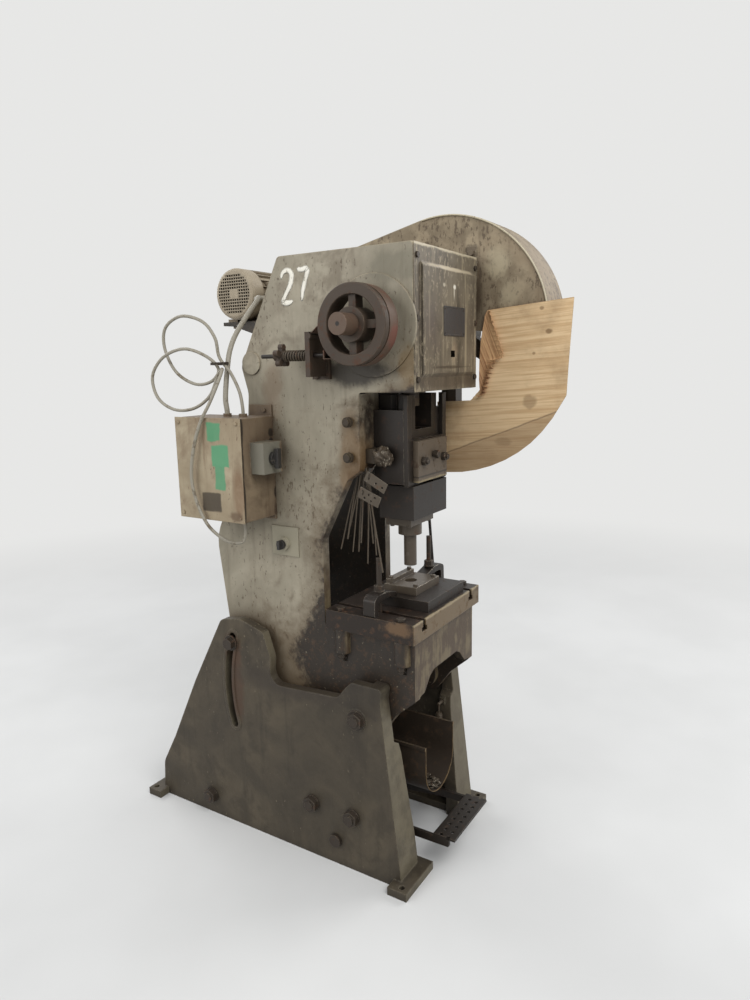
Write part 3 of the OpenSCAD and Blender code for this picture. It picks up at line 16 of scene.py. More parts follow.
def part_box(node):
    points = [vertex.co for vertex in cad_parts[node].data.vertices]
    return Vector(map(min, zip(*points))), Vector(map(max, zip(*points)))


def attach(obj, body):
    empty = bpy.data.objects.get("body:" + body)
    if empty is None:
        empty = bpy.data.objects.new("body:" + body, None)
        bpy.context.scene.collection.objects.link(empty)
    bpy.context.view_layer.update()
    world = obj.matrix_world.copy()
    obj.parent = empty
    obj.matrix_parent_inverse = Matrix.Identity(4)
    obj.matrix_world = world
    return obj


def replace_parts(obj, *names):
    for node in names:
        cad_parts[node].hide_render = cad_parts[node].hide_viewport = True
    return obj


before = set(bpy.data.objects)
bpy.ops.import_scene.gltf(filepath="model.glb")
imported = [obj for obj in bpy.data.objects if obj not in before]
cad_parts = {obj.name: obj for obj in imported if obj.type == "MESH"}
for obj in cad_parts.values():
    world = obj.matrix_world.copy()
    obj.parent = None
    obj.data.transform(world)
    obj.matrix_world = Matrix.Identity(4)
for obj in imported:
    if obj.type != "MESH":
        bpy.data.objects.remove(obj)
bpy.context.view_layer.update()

log = logging.getLogger("press")

Point = tuple[float, float, float]
Pair = tuple[float, float]
Colour = tuple[float, float, float]
Socket = bpy.types.NodeSocket
Piece = bpy.types.Object

# One millimetre, in metres
MM = 0.001
# The crease across the ply: its height where y is 0, and its rise towards the front per metre
CREASE_HEIGHT = 1.112
CREASE_RISE = 0.38
# The Mix node's sockets when it mixes colours
MIX_SHARE, MIX_UNDER, MIX_OVER, MIX_RESULT = 0, 6, 7, 2
# How the nodes are laid out: how many in a row, and how far apart
NODES_IN_ROW, NODE_PITCH = 9, 190
# The value that noise lies about
NOISE_MIDDLE = 0.5
# The grey that an overlay leaves as it is
EVEN_GREY = (0.5, 0.5, 0.5)
# How much of a normal lies along the axis that its face looks along
SQUARE_ON = 0.9


def srgb(red: float, green: float, blue: float) -> Colour:
    """Turn a colour as a paint card gives it into linear light.

    Args:
        red: Its red, 0 to 255.
        green: Its green.
        blue: Its blue.

    Returns:
        The colour in linear light, 0 to 1.
    """
    def linear(part: float) -> float:
        """Undo the screen curve of one channel."""
        part /= 255
        return part / 12.92 if part <= 0.04045 else ((part + 0.055) / 1.055) ** 2.4
    return (linear(red), linear(green), linear(blue))


def dimmed(colour: Colour, share: float) -> Colour:
    """The same colour with only a share of its light."""
    return tuple(part * share for part in colour)


# Finishes


class Value:
    """A number or a colour that a material works out at every place."""

    def __init__(self, surface: "Surface", socket: Socket) -> None:
        """Keep the socket that gives the value."""
        self.surface = surface
        self.socket = socket

    def __add__(self, other: "Value | float") -> "Value":
        """Add to it."""
        return self.surface.arithmetic("ADD", self, other)

    def __sub__(self, other: "Value | float") -> "Value":
        """Take from it."""
        return self.surface.arithmetic("SUBTRACT", self, other)

    def __rsub__(self, other: float) -> "Value":
        """Take it from a number."""
        return self.surface.arithmetic("SUBTRACT", other, self)

    def __mul__(self, other: "Value | float") -> "Value":
        """Multiply it."""
        return self.surface.arithmetic("MULTIPLY", self, other)

    def __abs__(self) -> "Value":
        """Drop its sign."""
        return self.surface.arithmetic("ABSOLUTE", self)

    def most(self, other: "Value") -> "Value":
        """The greater of the two."""
        return self.surface.arithmetic("MAXIMUM", self, other)

    def sway(self, width: float) -> "Value":
        """Noise as a push to and fro about zero."""
        return (self - NOISE_MIDDLE) * width

    def step(self, low: float, high: float) -> "Value":
        """Run softly from 0 to 1.

        Args:
            low: The value that gives 0, above or below high.
            high: The value that gives 1.

        Returns:
            The share, held between 0 and 1.
        """
        node = self.surface.node("ShaderNodeMapRange", interpolation_type="SMOOTHSTEP")
        flip = low > high
        self.surface.feed(node.inputs["Value"], self)
        node.inputs["From Min"].default_value = min(low, high)
        node.inputs["From Max"].default_value = max(low, high)
        node.inputs["To Min"].default_value = float(flip)
        node.inputs["To Max"].default_value = float(not flip)
        return Value(self.surface, node.outputs[0])


class Surface:
    """A material's nodes, wired one step at a time on the press's own coordinates."""

    def __init__(self, name: str) -> None:
        """Open an empty material.

        Args:
            name: Name of the material.
        """
        self.material = bpy.data.materials.new(name)
        self.material.use_nodes = True
        self.tree = self.material.node_tree
        self.tree.nodes.clear()
        self.place = Value(self, self.node("ShaderNodeTexCoord").outputs["Object"])

    def node(self, kind: str, **settings: object) -> bpy.types.Node:
        """Add a node.

        Args:
            kind: Blender's name for it.
            settings: Its options.

        Returns:
            The node, laid beside the last one.
        """
        row, column = divmod(len(self.tree.nodes), NODES_IN_ROW)
        node = self.tree.nodes.new(kind)
        node.location = (NODE_PITCH * column, -NODE_PITCH * row)
        for key, value in settings.items():
            setattr(node, key, value)
        return node

    def feed(self, socket: Socket, value: object) -> None:
        """Give a socket its value.

        Args:
            socket: The socket.
            value: A value or socket to link it to, or a fixed number, colour or direction.
        """
        if isinstance(value, Value):
            value = value.socket
        if isinstance(value, Socket):
            self.tree.links.new(value, socket)
        elif isinstance(value, tuple) and len(socket.default_value) == 4:
            socket.default_value = (*value, 1.0)
        else:
            socket.default_value = value

    def arithmetic(self, kind: str, first: Value | float, second: Value | float = 0.0) -> Value:
        """Work out one step of arithmetic.

        Args:
            kind: The Math node's operation.
            first: Its first number.
            second: Its second number, where it has one.

        Returns:
            The result.
        """
        node = self.node("ShaderNodeMath", operation=kind)
        self.feed(node.inputs[0], first)
        self.feed(node.inputs[1], second)
        return Value(self, node.outputs[0])

    def vector(self, kind: str, first: Value, second: Value | Point = (0, 0, 0)) -> Value:
        """Work out one step on places or directions.

        Args:
            kind: The Vector Math node's operation.
            first: Its first place or direction.
            second: Its second one, where it has one.

        Returns:
            A number for a length or a dot product, and otherwise a place or direction.
        """
        node = self.node("ShaderNodeVectorMath", operation=kind)
        self.feed(node.inputs[0], first)
        self.feed(node.inputs[1], second)
        number = kind in ("LENGTH", "DOT_PRODUCT")
        return Value(self, node.outputs["Value" if number else "Vector"])

    def stretched(self, scale: Point, turn: Point = (0, 0, 0), shift: Point = (0, 0, 0)) -> Value:
        """Coordinates for a pattern that runs one way.

        Args:
            scale: How far they are squeezed along each axis, so less than 1 draws the pattern out.
            turn: Their turn about each axis, in radians.
            shift: How far they are moved, in metres.

        Returns:
            The coordinates.
        """
        node = self.node("ShaderNodeMapping", vector_type="TEXTURE")
        self.feed(node.inputs["Vector"], self.place)
        node.inputs["Location"].default_value = shift
        node.inputs["Rotation"].default_value = turn
        node.inputs["Scale"].default_value = tuple(1 / part for part in scale)
        return Value(self, node.outputs[0])

    def noise(self, scale: float, detail: float = 4, rough: float = 0.55,
              at: Value | None = None, bend: float = 0) -> Value:
        """Cloudy noise, about 0.3 to 0.7.

        Args:
            scale: Clouds per metre.
            detail: Finer and finer layers.
            rough: Weight of the finer layers.
            at: Coordinates, or the press's own.
            bend: How far the clouds are dragged about.

        Returns:
            The noise.
        """
        node = self.node("ShaderNodeTexNoise")
        self.feed(node.inputs["Vector"], at or self.place)
        node.inputs["Scale"].default_value = scale
        node.inputs["Detail"].default_value = detail
        node.inputs["Roughness"].default_value = rough
        node.inputs["Distortion"].default_value = bend
        return Value(self, node.outputs[0])

    def mix(self, share: Value, under: Value | Colour, over: Value | Colour,
            kind: str = "MIX") -> Value:
        """Lay one colour over another.

        Args:
            share: How well the upper one covers, 0 to 1.
            under: The lower colour.
            over: The upper colour.
            kind: How they blend.

        Returns:
            The new colour.
        """
        node = self.node("ShaderNodeMix", data_type="RGBA", blend_type=kind)
        self.feed(node.inputs[MIX_SHARE], share)
        self.feed(node.inputs[MIX_UNDER], under)
        self.feed(node.inputs[MIX_OVER], over)
        return Value(self, node.outputs[MIX_RESULT])

    def lay(self, under: Value | Colour, over: Value | Colour, where: Value, low: float,
            high: float, strength: float = 1.0) -> Value:
        """Lay one colour over another where a value runs past a limit.

        Args:
            under: The lower colour.
            over: The upper colour.
            where: The value.
            low: Where it begins to cover.
            high: Where it covers as well as it does anywhere.
            strength: How well that is, 0 to 1.

        Returns:
            The new colour.
        """
        return self.mix(where.step(low, high) * strength, under, over)

    def letter(self, vector: Value, letter: str) -> Value:
        """Read one of a vector's three numbers.

        Args:
            vector: The place or direction.
            letter: The number's axis.

        Returns:
            The number.
        """
        node = self.node("ShaderNodeSeparateXYZ")
        self.feed(node.inputs[0], vector)
        return Value(self, node.outputs[letter])

    def axis(self, letter: str) -> Value:
        """One of the press's coordinates, in metres."""
        return self.letter(self.place, letter)

    def facing(self, letter: str) -> Value:
        """How far the face looks along one axis, -1 to 1."""
        flat = self.node("ShaderNodeNewGeometry").outputs["True Normal"]
        return self.letter(Value(self, flat), letter)

    def spot(self, centre: Point, reach: Point, ragged: Value, edge: float) -> Value:
        """A soft blot round a place on the press.

        Args:
            centre: Middle of the blot, in metres.
            reach: How far it goes along each axis.
            ragged: Noise that frays its edge.
            edge: Share of the reach over which it fades.

        Returns:
            1 inside, 0 outside.
        """
        frayed = 1.6
        away = self.vector("DIVIDE", self.vector("SUBTRACT", self.place, centre), reach)
        return (self.vector("LENGTH", away) + ragged.sway(frayed)).step(1.0, 1.0 - edge)

    def patch(self, low: Point, high: Point, ragged: Value) -> Value:
        """A patch with straight sides, such as a strip of paint.

        Args:
            low: Its lowest corner, in metres.
            high: Its highest corner.
            ragged: Noise that frays its sides.

        Returns:
            1 inside, 0 outside.
        """
        half, frayed = 0.003, 0.024
        share = 1.0
        for letter, start, end in zip("XYZ", low, high):
            place = self.axis(letter) + ragged.sway(frayed)
            share = place.step(start - half, start + half) * share
            share = share * place.step(end + half, end - half)
        return share

    def course(self, letter: str, points: tuple[Pair, ...]) -> Value:
        """A border that runs through points, read along one axis.

        Args:
            letter: The axis that it is read along.
            points: Place on that axis from 0 to 2 m, and the border's distance in front, 0 to 1 m.

        Returns:
            The border's distance at each place.
        """
        span = 2
        node = self.node("ShaderNodeFloatCurve")
        self.feed(node.inputs["Value"], self.axis(letter) * (1 / span))
        curve = node.mapping.curves[0]
        for end, (place, value) in zip(curve.points, (points[0], points[-1])):
            end.location = (place / span, value)
        for place, value in points[1:-1]:
            curve.points.new(place / span, value)
        node.mapping.update()
        return Value(self, node.outputs[0])

    def edges(self, radius: float) -> tuple[Value, Value]:
        """Round the arrises, and find those that hands and tools rub.

        Args:
            radius: How far they are rounded, in metres.

        Returns:
            The rounded normal, and 1 on the arrises and 0 elsewhere.
        """
        even, sharp = 0.985, 0.86
        bevel = self.node("ShaderNodeBevel", samples=4)
        bevel.inputs["Radius"].default_value = radius
        rounded = Value(self, bevel.outputs[0])
        flat = Value(self, self.node("ShaderNodeNewGeometry").outputs["Normal"])
        return rounded, self.vector("DOT_PRODUCT", rounded, flat).step(even, sharp)

    def corners(self, reach: float) -> Value:
        """Find the corners and gaps where dirt stays and shade falls, for grime and painted shade.

        Args:
            reach: How wide a gap may be, in metres.

        Returns:
            1 in a corner or gap, 0 out in the open.
        """
        clear, shut_in = 0.85, 0.35
        node = self.node("ShaderNodeAmbientOcclusion", samples=4)
        node.inputs["Distance"].default_value = reach
        return Value(self, node.outputs["AO"]).step(clear, shut_in)

    def close(self, colour: Value, rough: Value | float, metal: Value | float, height: Value,
              depth: float, normal: Value | None = None,
              shine: float = 0.5) -> bpy.types.Material:
        """Wire the shader itself.

        Args:
            colour: Its colour.
            rough: Its roughness.
            metal: How metallic it is, 0 to 1.
            height: How the surface rises and falls.
            depth: How far a height of 1 rises, in metres.
            normal: The normal that the height bends, or the mesh's own.
            shine: Strength of its gloss, 0.5 for plain paint.

        Returns:
            The finished material.
        """
        bump = self.node("ShaderNodeBump")
        bump.inputs["Distance"].default_value = depth
        bump.inputs["Strength"].default_value = 1.0
        self.feed(bump.inputs["Height"], height)
        if normal:
            self.feed(bump.inputs["Normal"], normal)
        shader = self.node("ShaderNodeBsdfPrincipled")
        self.feed(shader.inputs["Base Color"], colour)
        self.feed(shader.inputs["Roughness"], rough)
        self.feed(shader.inputs["Metallic"], metal)
        self.feed(shader.inputs["Normal"], bump.outputs[0])
        shader.inputs["Specular IOR Level"].default_value = shine
        self.feed(self.node("ShaderNodeOutputMaterial").inputs[0], shader.outputs[0])
        return self.material


@dataclass(frozen=True)
class TintSpot:
    """A round blot of oil, rust or other paint at one place; some are painted shadows and
    highlights.

    Attributes:
        centre: Middle, in metres.
        reach: How far it goes along each axis.
        colour: Its colour.
        strength: How well it covers.
        edge: Share of the reach over which it fades.
    """

    centre: Point
    reach: Point
    colour: Colour
    strength: float = 0.9
    edge: float = 0.6

    def cover(self, s: Surface, ragged: Value) -> Value:
        """How well it covers each place."""
        return s.spot(self.centre, self.reach, ragged, self.edge) * self.strength


@dataclass(frozen=True)
class Patch:
    """A patch of other paint with straight sides; some are painted highlights along an edge.

    Attributes:
        low: Its lowest corner, in metres.
        high: Its highest corner.
        colour: Its colour.
        strength: How well it covers.
    """

    low: Point
    high: Point
    colour: Colour
    strength: float

    def cover(self, s: Surface, ragged: Value) -> Value:
        """How well it covers each place."""
        return s.patch(self.low, self.high, ragged) * self.strength


@dataclass(frozen=True)
class WornPaint:
    """Old paint over cast iron or sheet: mottled, chipped, streaked and stained.

    Attributes:
        name: Name of the material.
        paint: The cleaner paint.
        faded: The paint where it has faded or is dusty.
        grime: Oily dirt in patches and corners.
        bare: What shows through the chips.
        dirt: How much of the surface the grime covers, 0 to 1.
        chips: How much of the paint is gone, 0 to 1.
        streaks: Strength of the runs down the surface.
        rub: What the rubbed arrises show.
        rough: Roughness of the clean paint.
        grain: Depth of the casting's unevenness, in metres.
        arris: How far the edges are rounded, in metres.
        tint_spots: Blots and patches at their places, in order.
    """

    name: str
    paint: Colour
    faded: Colour
    grime: Colour
    bare: Colour
    dirt: float = 0.4
    chips: float = 0.4
    streaks: float = 0.3
    rub: Colour = (0.16, 0.14, 0.10)
    rough: float = 0.6
    grain: float = 0.0016
    arris: float = 0.0035
    tint_spots: tuple[TintSpot | Patch, ...] = ()

    def material(self) -> bpy.types.Material:
        """Build the material.

        Returns:
            The material.
        """
        s = Surface(self.name)
        broad, cloud = s.noise(2.7, 5, 0.6, bend=0.8), s.noise(12, 8, 0.62, bend=0.3)
        other = s.noise(5.6, 6, 0.62, s.stretched((1, 1, 0.55), shift=(4, 2, 7)))
        fine, gritty = s.noise(150, 4, 0.6), s.noise(430, 3, 0.6)
        dashes = s.noise(98, 5, 0.66, s.stretched((1, 1, 0.5)))
        runs = s.noise(30, 6, 0.62, s.stretched((1, 1, 0.09)))
        normal, rubbed = s.edges(self.arris)
        # Faded in clouds, then grimy in patches and runs, and darker in corners: grime with
        # painted shade
        colour = s.lay(self.paint, self.faded, broad, 0.36, 0.64)
        colour = s.lay(colour, self.faded, cloud, 0.44, 0.7, 0.45)
        colour = s.lay(colour, self.grime, other, 0.48, 0.78, 0.3 + 0.4 * self.dirt)
        colour = s.lay(colour, self.grime, runs, 0.5, 0.78, self.streaks)
        more = 0.2 * self.dirt
        dirty = (cloud + broad * 0.7).step(0.92 - more, 1.16 - more) * 0.55
        # The occlusion in corners and gaps lays grime with painted shade
        colour = s.mix(dirty.most(s.corners(0.06) * 0.85), colour, self.grime)
        # Chipped all over, and rubbed along the arrises
        more = 0.15 * self.chips
        gone = (dashes + other.sway(0.3)).step(0.71 - more, 0.75 - more) * 0.7
        colour = s.mix(gone, colour, self.bare)
        worn = rubbed * dashes.step(0.36, 0.54) * (0.3 + self.chips / 2)
        colour = s.mix(worn, colour, self.rub)
        rough = fine * 0.2 + (self.rough - 0.1)
        colour, rough = self.mark(s, colour, rough, cloud)
        for tint_spot in self.tint_spots:
            cover = tint_spot.cover(s, cloud)
            colour = s.mix(cover, colour, tint_spot.colour)
            rough = rough - cover * 0.08
        colour = s.mix(fine.step(0.3, 0.7) * 0.3, colour, EVEN_GREY, "OVERLAY")
        height = cloud * 0.5 + dashes * 0.25 + gritty * 0.04 + fine * 0.08 - gone * 0.08
        return s.close(colour, rough, 0.0, height, self.grain, normal, shine=0.4)

    def mark(self, s: Surface, colour: Value, rough: Value, cloud: Value) -> tuple[Value, Value]:
        """Lay marks that only one kind of paint has, which plain paint lacks."""
        return colour, rough


@dataclass(frozen=True)
class OiledPaint(WornPaint):
    """The frame's paint, under years of oil in front of a border that follows the throat.

    Attributes:
        border: Height, and how far in front of the pivot line the oil begins, in metres.
        oil: The oil.
        baked: Rusty, baked oil between.
        halo: The thin brown film behind the border.
        bed: The bed's front face, where hands and stock rub the oil off.
        bed_dust: The paler runs down it.
        inner: Distance from the middle over which the cheeks' inner sides begin to be oily.
        foot: Heights between which the brown film grows, downwards, as grime with painted shadow.
        bed_top: Heights between which the bed's front begins, downwards.
    """

    border: tuple[Pair, ...] = ()
    oil: Colour = (0.02, 0.015, 0.01)
    baked: Colour = (0.06, 0.03, 0.015)
    halo: Colour = (0.1, 0.07, 0.04)
    bed: Colour = (0.06, 0.04, 0.02)
    bed_dust: Colour = (0.13, 0.10, 0.05)
    inner: Pair = (0.187, 0.180)
    foot: Pair = (0.90, 0.58)
    bed_top: Pair = (1.0, 0.9)

    def mark(self, s: Surface, colour: Value, rough: Value, cloud: Value) -> tuple[Value, Value]:
        """Lay the oil by the throat, down the bed, on inward faces, and as painted shade on
        downward faces.

        Args:
            s: The material's nodes.
            colour: The paint's colour so far.
            rough: Its roughness so far.
            cloud: Noise that frays the oil's border.

        Returns:
            The new colour and roughness.
        """
        grains = s.noise(48, 6, 0.7)
        past = s.axis("Y") * -1.0 - s.course("Z", self.border)
        past = past + cloud.sway(0.22) + grains.sway(0.12)
        colour = s.lay(colour, self.halo, past, -0.11, 0.02, 0.6)
        # Browner towards the foot: grime with painted shadow above the legs
        colour = s.lay(colour, self.halo, s.axis("Z"), *self.foot, 0.62)
        inside = abs(s.axis("X")).step(*self.inner) * abs(s.facing("X")).step(0.6, 0.8)
        # Faces that look down take the oil's dark colour: painted shade
        under = s.facing("Z").step(-0.4, -0.6)
        oil_and_under_shade = past.step(-0.012, 0.045).most(inside.most(under)) * 0.94
        oil = s.lay(self.oil, self.baked, grains, 0.5, 0.68)
        oil = s.lay(oil, self.rub, s.noise(95, 5, 0.7), 0.62, 0.7, 0.6)
        colour = s.mix(oil_and_under_shade, colour, oil)
        # The bed's front, with its paler runs
        front = s.facing("Y").step(-0.6, -0.85) * s.axis("Z").step(*self.bed_top)
        runs = s.noise(46, 6, 0.66, s.stretched((1, 1, 0.22), shift=(3, 1, 0)))
        bed = s.lay(self.bed, self.bed_dust, runs + cloud, 0.90, 1.14)
        return s.mix(front * 0.85, colour, bed), rough - oil_and_under_shade * 0.12


@dataclass(frozen=True)
class PaleFrontPaint(WornPaint):
    """Paint that is paler where it faces the front, as dust with painted light, with pale runs
    down it.

    Attributes:
        dust: The pale colour of the dust with painted light on the front, and of the faded runs.
        dusty: How well the dust and painted light cover the front, 0 to 1.
        drips: Strength of the runs, 0 to 1.
    """

    dust: Colour = (0.14, 0.13, 0.10)
    dusty: float = 0.0
    drips: float = 0.5

    def mark(self, s: Surface, colour: Value, rough: Value, cloud: Value) -> tuple[Value, Value]:
        """Lay the dust with painted light, and its runs, on the faces that look forwards.

        Args:
            s: The material's nodes.
            colour: The paint's colour so far.
            rough: Its roughness so far.
            cloud: Noise that makes the dust patchy.

        Returns:
            The new colour and the same roughness.
        """
        # Faces that look forwards grow paler: dust with painted light
        ahead = s.facing("Y").step(-0.5, -0.8)
        patchy = cloud.step(0.36, 0.64) * 0.6 + 0.4
        colour = s.mix(ahead * patchy * self.dusty, colour, self.dust)
        runs = s.noise(34, 6, 0.64, s.stretched((1, 1, 0.07), shift=(3, 1, 0)))
        return s.mix(runs.step(0.52, 0.66) * ahead * self.drips, colour, self.dust), rough


@dataclass(frozen=True)
class OldMetal:
    """Bare iron or steel: a dark film, rubbed bright at the edges, rusty or oily in patches.

    Attributes:
        name: Name of the material.
        metal: The rubbed metal.
        film: The dull film over it.
        rust: Colour of the rust or of the dried oil.
        cover: How much of it the film covers, 0 to 1.
        rusty: How much of it is rusty, 0 to 1.
        rough: Roughness of the film.
        lines: Strength of the tool's lines along the axis.
        way: Which way the tool's lines run.
        tint_spots: Blots at their places, in order.
        grain: Depth of its unevenness, in metres.
    """

    name: str
    metal: Colour
    film: Colour
    rust: Colour
    cover: float = 0.8
    rusty: float = 0.3
    rough: float = 0.5
    lines: float = 0.2
    way: Point = (1, 1, 0.05)
    tint_spots: tuple[TintSpot, ...] = ()
    grain: float = 0.0009

    def material(self) -> bpy.types.Material:
        """Build the material.

        Returns:
            The material.
        """
        s = Surface(self.name)
        broad, cloud = s.noise(7, 5, 0.6, bend=0.5), s.noise(34, 7, 0.66)
        fine = s.noise(210, 4, 0.6)
        cuts = s.noise(260, 3, 0.6, s.stretched(self.way))
        normal, rubbed = s.edges(0.0022)
        # Bright where the film is worn through, and along the arrises
        more = 0.5 * self.cover
        bare = (cloud + broad * 0.5).step(0.98 - more, 0.62 - more)
        bare = bare.most(rubbed * cloud.step(0.36, 0.56))
        colour = s.mix(bare, self.film, self.metal)
        metal = bare * 0.7 + 0.08
        more = 0.24 * self.rusty
        red = (cloud + fine * 0.25).step(0.76 - more, 0.9 - more) * 0.9
        colour = s.mix(red, colour, self.rust)
        rough = fine * 0.24 + (self.rough - 0.12) - bare * 0.14 + red * 0.3
        for tint_spot in self.tint_spots:
            cover = tint_spot.cover(s, cloud)
            colour = s.mix(cover, colour, tint_spot.colour)
            metal = metal * (1.0 - cover)
        metal = metal * (1.0 - red)
        # Painted shade: the film darkened to a third in corners and gaps
        colour = s.mix(s.corners(0.02) * 0.75, colour, dimmed(self.film, 0.35))
        height = cloud * 0.4 + fine * 0.1 + cuts * self.lines
        return s.close(colour, rough, metal, height, self.grain, normal, shine=0.35)


@dataclass(frozen=True)
class Rubbery:
    """Moulded plastic or rubber with dust in its pores.

    Attributes:
        name: Name of the material.
        body: Its own colour.
        dust: Colour of the dust.
        dusty: How much dust there is, 0 to 1.
        rough: Roughness of the clean surface.
        grain: Depth of its pores, in metres.
    """

    name: str
    body: Colour
    dust: Colour
    dusty: float = 0.4
    rough: float = 0.5
    grain: float = 0.0004

    def material(self) -> bpy.types.Material:
        """Build the material.

        Returns:
            The material.
        """
        s = Surface(self.name)
        cloud, fine = s.noise(28, 6, 0.65), s.noise(300, 3, 0.6)
        normal, rubbed = s.edges(0.0015)
        dust = (cloud + fine * 0.2).step(0.78 - 0.25 * self.dusty, 0.95 - 0.4 * self.dusty)
        colour = s.mix(dust * 0.8, self.body, self.dust)
        colour = s.mix(rubbed * 0.35, colour, self.dust)
        rough = dust * 0.25 + self.rough
        return s.close(colour, rough, 0.0, fine + cloud * 0.5, self.grain, normal)


@dataclass(frozen=True)
class RotaryPly:
    """Weathered softwood ply: long arched grain, knots, a stained edge.

    Attributes:
        name: Name of the material.
        pale: Early wood.
        dark: Late wood.
        dirt: Oil and hand marks, and the painted shade below and along the crease.
        tilt: Lean of the grain from level, in radians.
        torn: How strongly the grain stands out, 0 to 1.
        red: What reddens the torn wood.
        low: Heights between which the sheet grows darker, downwards.
        torn_low: Heights between which the torn wood grows red, downwards.
        layers: Plies in a metre, the dark ones and the pale ones in pairs.
        knots: Knots and hand marks: middle, reach and strength.
    """

    name: str
    pale: Colour
    dark: Colour
    dirt: Colour
    tilt: float = -0.07
    torn: float = 0.0
    red: Colour = srgb(140, 82, 64)
    low: Pair = (1.52, 1.22)
    torn_low: Pair = (1.60, 1.48)
    layers: float = 560.0
    knots: tuple[tuple[Point, Point, float], ...] = (
        ((0.224, -0.773, 1.660), (0.1, 0.015, 0.010), 0.9),
        ((0.224, -0.750, 1.728), (0.1, 0.009, 0.007), 0.7),
        ((0.224, -0.729, 1.596), (0.1, 0.007, 0.006), 0.7),
        ((0.224, -0.716, 1.448), (0.1, 0.027, 0.026), 0.55),
        ((0.224, -0.628, 1.323), (0.1, 0.032, 0.016), 0.45))

    def material(self) -> bpy.types.Material:
        """Build the material.

        Returns:
            The material.
        """
        s = Surface(self.name)
        lean = (self.tilt, 0, 0)
        sway = s.noise(5, 4, 0.55, s.stretched((1, 0.10, 1), lean), 0.5)
        lines = s.noise(190, 3, 0.55, s.stretched((0.3, 0.022, 1), lean), 0.1)
        bands = s.noise(60, 3, 0.5, s.stretched((0.3, 0.05, 1), lean), 0.2)
        fibre = s.noise(420, 4, 0.65, s.stretched((1, 0.03, 1), lean))
        broad, cloud = s.noise(3.6, 4, 0.6), s.noise(15, 6, 0.62)
        normal, rubbed = s.edges(0.0012)
        # The grain, from its lines to its broad sway, and the knots
        colour = s.lay(self.pale, self.dark, lines, 0.46, 0.62, 0.55 + 0.4 * self.torn)
        colour = s.lay(colour, self.dark, bands, 0.45, 0.68, 0.45)
        colour = s.lay(colour, self.dark, fibre, 0.5, 0.68, 0.3)
        colour = s.lay(colour, self.dark, sway, 0.5, 0.7, 0.3)
        for centre, reach, strength in self.knots:
            colour = s.mix(s.spot(centre, reach, cloud, 0.5) * strength, colour,
                           dimmed(self.dark, 0.5))
        colour = s.lay(colour, self.dirt, broad + cloud * 0.5, 0.74, 1.0, 0.4)
        # Darker towards the bottom
        colour = s.lay(colour, self.dirt, s.axis("Z"), *self.low, 0.3)
        # Darker below the crease and darkest along it: painted shade on the turned part and in the
        # crease
        below = s.axis("Y") * -CREASE_RISE - s.axis("Z") + CREASE_HEIGHT + cloud * 0.012
        colour = s.lay(colour, self.dirt, below, 0.0, 0.012, 0.38)
        colour = s.lay(colour, dimmed(self.dirt, 0.4), abs(below - 0.004), 0.005, 0.0, 0.6)
        colour = s.lay(colour, self.red, s.axis("Z"), *self.torn_low, 0.5 * self.torn)
        # The plies on the cut edges, which look neither out nor in
        rim = (1.0 - abs(s.facing("X"))) * 0.9
        place = s.arithmetic("FRACT", s.axis("X") * self.layers)
        plies = s.mix(s.arithmetic("GREATER_THAN", place, 0.5), self.pale, self.dirt)
        colour = s.lay(colour, plies, rim, 0.35, 0.6)
        colour = s.mix(rubbed * 0.3, colour, self.dirt)
        return s.close(colour, cloud * 0.2 + 0.62, 0.0, fibre * 0.3 + lines * 0.7,
                       0.001 + 0.002 * self.torn, normal, shine=0.3)


OIL = srgb(34, 28, 22)


